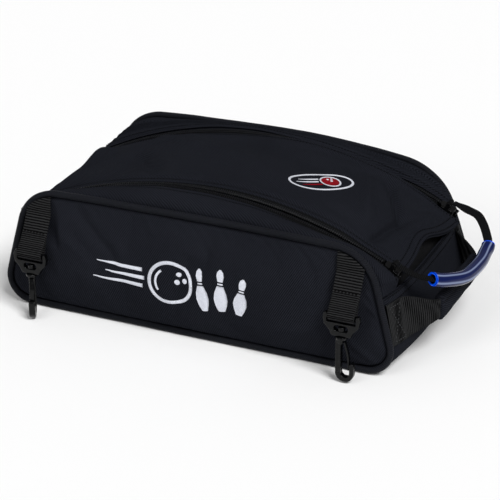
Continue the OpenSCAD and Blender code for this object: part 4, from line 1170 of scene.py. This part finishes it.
# %% [markdown]
# ## Webbing
# Webbing is a flat woven band with ribs across it. One helper carries a flattened section along a
# path: the faces ripple with the rib pitch, the ripple wavers across the width as a weave does, and
# the edges are rounded selvedges.

# %% Webbing helper
def spread_frame(path, wide):
    """Tangent, width direction and normal along a path, the width squared up to the path."""
    along = unit(np.gradient(path, axis=0))
    wide = unit(wide - along * (wide * along).sum(-1, keepdims=True))
    return along, wide, np.cross(along, wide)


def selvedge(s, width, thick):
    """Share of the thickness at s from -1 to 1 across a band: full between two round edges."""
    into = np.clip((np.abs(s) * width / 2 - width / 2 + thick / 2) / (thick / 2), 0, 1)
    return np.sqrt(np.clip(1 - into ** 2, 0.04, 1))


def web_band(name, path, wide, width, thick, pitch, amp, seed, cols=18):
    """Webbing along a path: a rounded flat band whose two faces ripple by amp every pitch mm; width and thickness
    may vary."""
    _, wide, normal = spread_frame(path, wide)
    width, thick = (np.broadcast_to(v, len(path))[:, None] for v in (width, thick))
    s = crowded(cols, WEB_CROWD)
    edge, across = selvedge(s, width, thick), s * width / 2
    at = lengths(path)[:, None]
    waver = 0.6 * soft_noise(at, across, 14, seed) + 0.2 * np.sin(across * 1.4)
    ripple = -amp * np.cos(at * 2 * np.pi / pitch + waver)
    rise = np.concatenate([edge * (thick / 2 + ripple), -(edge * (thick / 2 - ripple))[:, ::-1]], 1)
    flat = np.concatenate([across, across[:, ::-1]], 1)
    return tube(name, path[:, None] + wide[:, None] * flat[..., None] + normal[:, None] * rise[..., None])


RIB, WEB_CROWD = 2.2, 0.9
print("webbing helper ready")

# %% [markdown]
# ## Hook straps
# Each strap comes out of the piping seam, bends over and hangs, folded round the swivel's bar and
# stitched to itself. The strap is one band from the seam to the fold, and the loop is a second band round
# the bar.

# %% Hook straps
BEND_Y, BEND_Z, HOOK_Y, BAR_Z = -107.7, 97.0, -125.7, 62.4
BAR_R, BAR_PLAY = 2.4, 0.45
drop = np.array([HOOK_Y - BEND_Y, BAR_Z - BEND_Z])
drop_length = np.hypot(*drop)
down_strap = drop / drop_length
off_strap = np.array([down_strap[1], -down_strap[0]])


def outline_top(x):
    """Height of the front outline over x."""
    half = FRONT[0]
    high = corner_circles(half)[1]
    dx = np.clip(np.abs(x) - high[0], 0, half[1])
    return np.minimum(top_edge(half, x), high[1] + np.sqrt(half[1] ** 2 - dx ** 2))


def strap_place(share):
    """Point [y, z] of the hanging strap's middle, from 0 at the bend to 1 at the bar."""
    return np.array([BEND_Y, BEND_Z]) + down_strap * drop_length * share


def strap_tail(hand, side_name, cols=20):
    """Root and tail in one band, whose upper end is cut along the piping."""
    s = crowded(cols, WEB_CROWD)
    x = hand * STRAP_X + s * STRAP_W / 2
    top = outline_top(x) - PIPING_R + 0.4
    below = even(np.array([[BEND_Y, BEND_Z + 2.5], [BEND_Y - 0.35, BEND_Z - 1.0], strap_place(0.56)]), 80)
    above_z = mix(top, BEND_Z + 2.5, np.linspace(0, 1, 40)[:, None])
    above_y = BEND_Y + 1.6 * np.exp(-(top - above_z) / 3.0)
    z = np.concatenate([above_z[:-1], np.repeat(below[:, 1:], cols, 1)])
    y = np.concatenate([above_y[:-1], np.repeat(below[:, :1], cols, 1)])
    mid = np.stack([np.broadcast_to(x, z.shape), y, z], -1)
    normal = normals_of(mid, [0, -1, 0.001])
    edge = selvedge(s, STRAP_W, STRAP_T)
    waver = 0.35 * soft_noise(mid[..., 0], z, 14, 51) + 0.15 * np.sin(x * 1.3)
    ripple = -0.3 * np.cos(z * 2 * np.pi / RIB + waver)
    # the UV shifts with the ripple's waver, so the webbing finish's painted groove shade falls in step with the
    # modelled ribs
    rib_uv = np.stack([z + waver * RIB / (2 * np.pi), mid[..., 0]], -1) * MM
    face = mid + normal * (edge * (STRAP_T / 2 + ripple))[..., None]
    reverse = mid - normal * (edge * (STRAP_T / 2 - ripple))[..., None]
    band = dress(shell(f"{side_name}_strap_web", face, reverse, rib_uv), webbing, None,
                 (f"{side_name}_strap_root", f"{side_name}_strap"))
    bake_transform(band)


def strap_loop(hand, side_name):
    """The fold round the swivel's bar: an arc and two straight runs that meet at a point up the strap."""
    r = BAR_R + BAR_PLAY + STRAP_T / 2
    meet = drop_length * 0.46
    open_at = np.arccos(r / meet)
    turn = np.linspace(open_at, 2 * np.pi - open_at, 70)
    round_bar = r * np.stack([np.cos(turn), np.sin(turn)], -1)
    tip = np.array([[meet + 1.2, 0.45]])
    route = even(np.concatenate([tip, round_bar, tip * [1, -1]]), 170)
    y, z = (np.array([HOOK_Y, BAR_Z]) - route[:, :1] * down_strap + route[:, 1:] * off_strap).T
    path = np.stack([np.full_like(y, hand * STRAP_X), y, z], -1)
    loop = web_band(f"{side_name}_strap_loop", path, np.array([[1.0, 0, 0]]), STRAP_W - 0.3, STRAP_T, RIB, 0.3, 52)
    dress(loop, webbing, f"{side_name}_strap", ())


for hand, side_name in ((-1, "left"), (1, "right")):
    strap_tail(hand, side_name)
    strap_loop(hand, side_name)

# %% [markdown]
# ## Grab handle
# Webbing is sewn flat to the right end at both ends and stands off in the middle, where it is folded
# double inside a padded sleeve, the grip. Each half of the webbing is one band from the bag to the grip.

# %% Handle webbing
HANDLE_Z, HANDLE_W, HANDLE_T, ANCHOR_Y = 48.0, 38.0, 1.6, 80.0
GRIP_W, GRIP_T, GRIP_HALF, GRIP_PAD, GRIP_GROOVE = 19.0, 3.6, 49.0, 3.4, 5.6


def side_x(half, z):
    """Half width of a panel's straight side at height z."""
    low, _, lean, _ = corner_circles(half)
    return low[0] + BOTTOM_R * np.cos(lean) - (z - low[1] - BOTTOM_R * np.sin(lean)) * np.tan(lean)


def end_x(y, z):
    """Reach of the right end panel at y and height z."""
    share = (y + HALF_DEPTH) / (2 * HALF_DEPTH)
    return mix(side_x(FRONT[0], z), side_x(REAR[0], z), share) + 0.2 + swell(y, z)


def handle_lie(y):
    """How far the webbing lies on the bag at each y: 0 in the grip, 1 at the sewn ends."""
    return smooth(GRIP_HALF - 1, ANCHOR_Y, np.abs(y))


def handle_line(y):
    """Middle of the handle's webbing and its upward direction at each y."""
    lie = handle_lie(y)
    x = mix(end_x(0.0, HANDLE_Z) + 18, end_x(y, HANDLE_Z) + HANDLE_T / 2 + 0.5, lie)
    lean = lie * np.arctan2(end_x(y, HANDLE_Z - HANDLE_W / 2) - end_x(y, HANDLE_Z + HANDLE_W / 2), HANDLE_W)
    path = np.stack([x, y, np.full_like(y, HANDLE_Z)], -1)
    up = np.stack([-np.sin(lean), np.zeros_like(y), np.cos(lean)], -1)
    return path, up


def web_size(y):
    """Width and thickness of the handle's webbing at each y: folded double in the grip, flat at the sewn ends."""
    return mix(GRIP_W, HANDLE_W, handle_lie(y)), mix(GRIP_T, HANDLE_T, handle_lie(y))


for label, side in (("front", -1), ("rear", 1)):
    web_y = side * np.linspace(100.6, 43.0, 290)
    path, up = handle_line(web_y)
    web = web_band(f"handle_web_{label}", path, up, *web_size(web_y), RIB, 0.26, 61)
    dress(web, webbing, None, (f"handle_{label}_anchor", f"handle_{label}_bend"))
    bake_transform(web)

# %% [markdown]
# ## Padded grip
# The sleeve is a rounded roll along the same curve with a stitched groove along it, and its ends turn in
# round the webbing.

# %% Padded grip
def grip_roll(rows=120, sides=56):
    """Rounded roll: a squared oval round the folded webbing, narrower at both lips, with a groove along each face;
    the first and last rings lie inside the lips."""
    y = GRIP_HALF * crowded(rows, 0.95)
    lip = np.clip((GRIP_HALF - np.abs(y)) / 2.6, 0, 1)
    full = 0.4 + 0.6 * np.sqrt(1 - (1 - lip) ** 2)
    y = np.concatenate([[4 - GRIP_HALF], y, [GRIP_HALF - 4]])[:, None]
    full = np.concatenate([[0.1], full, [0.1]])[:, None]
    path, up = handle_line(y[:, 0])
    _, up, out = spread_frame(path, up)
    turn = around(sides)
    tall = GRIP_W / 2 + 2.7 * full + 0.4 * full * soft_noise(y, turn * 6, 30, 63)
    rise = tall * squared(np.cos(turn), 0.66)
    dip = 1.1 * full * bell(rise - GRIP_GROOVE, 1.3)
    thick = GRIP_T / 2 + GRIP_PAD * full + 0.3 * full * soft_noise(y, turn * 8, 24, 64) - dip
    depth = thick * squared(np.sin(turn), 0.72)
    return path[:, None] + up[:, None] * rise[..., None] + out[:, None] * depth[..., None]


grip_rings = grip_roll()
dress(tube("grip_sleeve", grip_rings), twill, "grab_handle", ("handle_wrap", "handle_core"))

# %% [markdown]
# ## Zip pull
# One length of narrow webbing joins both sliders and runs through a clear blue vinyl tube. Its route is
# a smooth curve through a few points, written from the slider pins: how far out, which share of the
# half spacing, and how far above.

# %% Zip pull
ROUTE = np.array([[3.4, -1, -0.7], [10, -0.99, -4.5], [21, -0.955, -9], [31.7, -0.89, -11.5], [40.5, -0.75, -15.2],
                  [49.1, -0.38, -21.9], [50.6, 0.1, -24.4], [48.5, 0.42, -24.2], [47.8, 0.58, -20.3],
                  [41.9, 0.71, -12.4], [36, 0.8, -6.6], [29.5, 0.87, -2.8], [19, 0.94, -1.8], [10, 0.99, -0.6],
                  [3.4, 1, 0.9]])
WIDE_AT = np.array([0, 0.2, 0.4, 0.68, 0.75, 0.88, 0.93, 0.98, 1])
WIDE_TO = np.array([[0, 1, 0], [0, 1, 0], [-0.5, 0.2, 1], [0.4, 0.3, 0.8], [0.74, 0.54, 0.41], [0.74, 0.54, 0.41],
                    [0.3, 0.8, 0.5], [0, 1, 0], [0, 1, 0]])
pull_points = np.stack([PIN[0] + ROUTE[:, 0], ZIP_Y * ROUTE[:, 1], PIN[1] + ROUTE[:, 2]], -1)


def curve_through(points, first, last, per):
    """Catmull-Rom curve from point first to point last, per steps for each span."""
    i = np.repeat(np.arange(first, last), per)
    t = np.tile(np.arange(per) / per, last - first)[:, None]
    a, b, c, d = (points[np.clip(i + k, 0, len(points) - 1)] for k in (-1, 0, 1, 2))
    body = 0.5 * (2 * b + (c - a) * t + (2 * a - 5 * b + 4 * c - d) * t ** 2 + (3 * b - a - 3 * c + d) * t ** 3)
    return np.concatenate([body, points[last:last + 1]])


pull_path = even(curve_through(pull_points, 0, len(ROUTE) - 1, 30), 420)
pull_wide = sampled(np.linspace(0, 1, len(pull_path)), WIDE_AT, WIDE_TO)
pull_web = web_band("pull_web", pull_path, pull_wide, 8.0, 1.5, 1.7, 0.16, 71, cols=12)
dress(pull_web, pull_webbing, "pull", ("pull_webbing",))


def pin_loop(side, rows=48, sides=14):
    """Webbing round a slider's pin: a squared section carried round the pin's axis, with a ripple."""
    turn, section = around(rows)[:, None], around(sides)
    r = 2.05 + 0.75 * squared(np.cos(section), 0.6) + 0.06 * np.sin(turn * 8)
    y = side * ZIP_Y + 3.9 * squared(np.sin(section), 0.5)
    return np.stack(np.broadcast_arrays(PIN[0] + r * np.cos(turn), y, PIN[1] + r * np.sin(turn)), -1)


pin_loops = np.stack([pin_loop(-1), pin_loop(1)])
loop_skin, per_loop = quads(*pin_loops.shape[1:3], True, True), pin_loops[0, ..., 0].size
loop_points, loop_faces = repeated(pin_loops.reshape(-1, 3), [loop_skin], per_loop)
dress(new_mesh("pull_pin_loops", loop_points, loop_faces, loop_points[:, [1, 2]] * MM), pull_webbing, "pull",
      ("pull_end_loops",))

# %% [markdown]
# ## Clear tube
# The tube follows the middle of the same curve. It has a thick wall, so its cut ends show as rings: an outer
# and an inner skin of circles, joined by a ring at either mouth. Their brightness is painted by the tube's finish.

# %% Clear tube
HOSE_ROWS, HOSE_SIDES, HOSE_R, HOSE_BORE = 120, 36, 6.25, 4.15
hose_path = even(curve_through(pull_points, 3, 8, 40), HOSE_ROWS)
hose_turn, hose_row = around(HOSE_SIDES), np.arange(HOSE_ROWS)


def hose_rings(radius):
    """Circles of a radius that may vary along the tube; the front end is cut at a slant."""
    along, up, side = spread_frame(hose_path, np.array([[0, 0, 1.0]]))
    round_up = up[:, None] * np.cos(hose_turn)[:, None] + side[:, None] * np.sin(hose_turn)[:, None]
    spread = round_up * radius[:, None, None]
    slant = 0.4 * np.exp(-hose_row / 7.0)[:, None, None]
    return hose_path[:, None] + spread + along[:, None] * (spread @ side[0])[..., None] * slant


lip = 0.35 * (np.exp(-hose_row / 0.8) + np.exp(-hose_row[::-1] / 0.8))
walls = (HOSE_R - lip * 0.6, HOSE_BORE + lip * 0.3)
hose_points = np.concatenate([hose_rings(radius).reshape(-1, 3) for radius in walls])
hose_skin, count = quads(HOSE_ROWS, HOSE_SIDES, wrap_cols=True), HOSE_ROWS * HOSE_SIDES
ring = np.arange(HOSE_SIDES)
after = np.roll(ring, -1)
mouth = np.stack([ring, after, after + count, ring + count], -1)
hose_faces = outward(hose_points, [np.concatenate([hose_skin, hose_skin[:, ::-1] + count, mouth[:, ::-1],
                                                   mouth + count - HOSE_SIDES])])
along_hose, round_hose = np.meshgrid(lengths(hose_path), np.abs(hose_turn - np.pi) * HOSE_R, indexing="ij")
hose_uv = np.tile(np.stack([along_hose, round_hose], -1).reshape(-1, 2), (2, 1)) * MM
dress(new_mesh("pull_hose", hose_points, hose_faces, hose_uv), blue_vinyl, "pull", ("pull_tube",))
print(f"pull webbing is {lengths(pull_path)[-1]:.0f} mm along its middle, tube {along_hose[-1, 0]:.1f} mm")

# %% [markdown]
# ## Stitching
# Seams read as seams because of their thread. A run of stitches is a path on a surface: each stitch is
# a short bowed capsule of a few faces, and all the runs on one body share a mesh.

# %% Stitch helper
def stitches(name, runs, body, finish, pitch=3.2, length=1.9, radius=0.5):
    """Capsules at every pitch along each run of (points, normals), bowed down at both ends."""
    centres, tangents, uprights = [], [], []
    for points, normal in runs:
        at = lengths(points)
        want = np.arange(pitch / 2, at[-1] - pitch / 4, pitch)
        centres.append(sampled(want, at, points))
        tangents.append(unit(sampled(want, at, np.gradient(points, at, axis=0))))
        uprights.append(unit(sampled(want, at, normal)))
    c, t, n = (np.concatenate(v)[:, None, None] for v in (centres, tangents, uprights))
    b = np.cross(t, n)
    step, size, bow = (np.array(v)[:, None, None] for v in ((-0.5, -0.32, 0.32, 0.5), (0.3, 1, 1, 0.3),
                                                            (-0.25, 0.25, 0.25, -0.25)))
    turn = around(5)[:, None]
    points = c + t * step * length + n * (bow + size * radius * np.cos(turn)) + b * size * radius * np.sin(turn)
    caps = np.array([[4, 3, 2], [4, 2, 1], [4, 1, 0], [15, 16, 17], [15, 17, 18], [15, 18, 19]])
    dress(new_mesh(name, *repeated(points.reshape(-1, 3), [quads(4, 5, wrap_cols=True), caps], 20)), finish, body, ())


def column(face, normal, place):
    """A run down a grid at a fractional column."""
    j = int(np.clip(np.floor(place), 0, face.shape[1] - 2))
    return mix(face[:, j], face[:, j + 1], place - j), normal[:, j]


def row(face, normal, place):
    """A run across a grid at a fractional row."""
    return column(face.swapaxes(0, 1), normal.swapaxes(0, 1), place)


def trimmed(run, count):
    """A run without count points at either end."""
    return tuple(part[count:-count] for part in run)


print("stitch helper ready")

# %% [markdown]
# ## Seams of the lid and the bag
# The lid is stitched along both folded edges and twice across its free end, each gusset once beside the zip,
# and each end panel twice along its hem. The runs are lines of the grids that made these pieces.

# %% Seams of the lid and the bag
LID_MIDDLE = lid_face.shape[1] // 2
in_columns = np.interp(LID_STITCH, lid_edge[0, :LID_MIDDLE], np.arange(LID_MIDDLE))
lid_runs = [column(lid_face[:-20], lid_normal[:-20], at) for at in (in_columns, lid_face.shape[1] - 1 - in_columns)]
for inset in LID_END_ROWS:
    in_rows = np.interp(inset, lid_from_end[:40, LID_MIDDLE], np.arange(40))
    lid_runs.append(trimmed(row(lid_face, lid_normal, in_rows), 3))
stitches("lid_stitches", lid_runs, "lid", black_thread)

bag_runs = []
for face, normal in ((front_gusset_face, front_gusset_normal), (rear_gusset_face, rear_gusset_normal)):
    bag_runs.append(trimmed(column(face, normal, (GUSSET_COLS - 1) * (1 - GUSSET_STITCH / GUSSET_BAND)), 8))
for face, normal in ((right_face, right_normal), (left_face, left_normal)):
    middle = face[len(face) // 2, ::-1, 2]
    for inset in HEM_ROWS:
        place = np.interp(inset, middle[0] - middle, np.arange(SIDE_ROWS)[::-1])
        bag_runs.append(trimmed(column(face, normal, place), 4))

# %% [markdown]
# ## Handle and straps
# The handle's ends are sewn down with a box and a cross in grey thread. The grip is stitched along its
# groove, and each strap twice across, where the fold round the bar is closed.

# %% Stitching of handle and straps
def on_handle(y, rise, side):
    """A line on the outer face of a handle anchor from y and rise above its middle."""
    path, up = handle_line(side * y)
    _, up, out = spread_frame(path, up)
    out = out * np.sign(out[:, :1])
    return path + up * rise[:, None] + out * (HANDLE_T / 2 + 0.2), out


anchor_runs = []
NEAR, FAR, TALL = 97.0, 82.0, 15.5
box = np.array([[NEAR, TALL], [FAR, TALL], [FAR, -TALL], [NEAR, -TALL]])
for side in (-1, 1):
    for a, b in ((0, 1), (1, 2), (2, 3), (3, 0), (0, 2), (1, 3)):
        y, rise = mix(box[a], box[b], np.linspace(0, 1, 24)[:, None]).T
        anchor_runs.append(on_handle(y, rise, side))
stitches("anchor_stitches", anchor_runs, "bag", grey_thread)
stitches("bag_stitches", bag_runs, "bag", black_thread)

grip_line = grip_rings[6:-6]
grip_out = unit(np.cross(np.gradient(grip_line[:, 0], axis=0), [0, 0, 1.0]))
grip_depth = ((grip_line - grip_line.mean(1, keepdims=True)) * grip_out[:, None]).sum(-1)
near_groove = np.abs(grip_line[..., 2] - HANDLE_Z - GRIP_GROOVE) + 50 * (grip_depth < 0)
grip_at = np.argmin(near_groove.mean(0))
stitches("grip_stitches", [(grip_line[:, grip_at], grip_out)], "grab_handle", black_thread)

strap_out = np.array([0, *(-off_strap if off_strap[0] > 0 else off_strap)])
for hand, side_name in ((-1, "left"), (1, "right")):
    runs = []
    for share in (0.47, 0.51):
        x = hand * STRAP_X + np.linspace(-11.5, 11.5, 30)
        run = np.stack(np.broadcast_arrays(x, *strap_place(share)), -1) + strap_out * 1.05
        runs.append((run, np.tile(strap_out, (len(x), 1))))
    stitches(f"{side_name}_strap_stitches", runs, f"{side_name}_strap", black_thread)
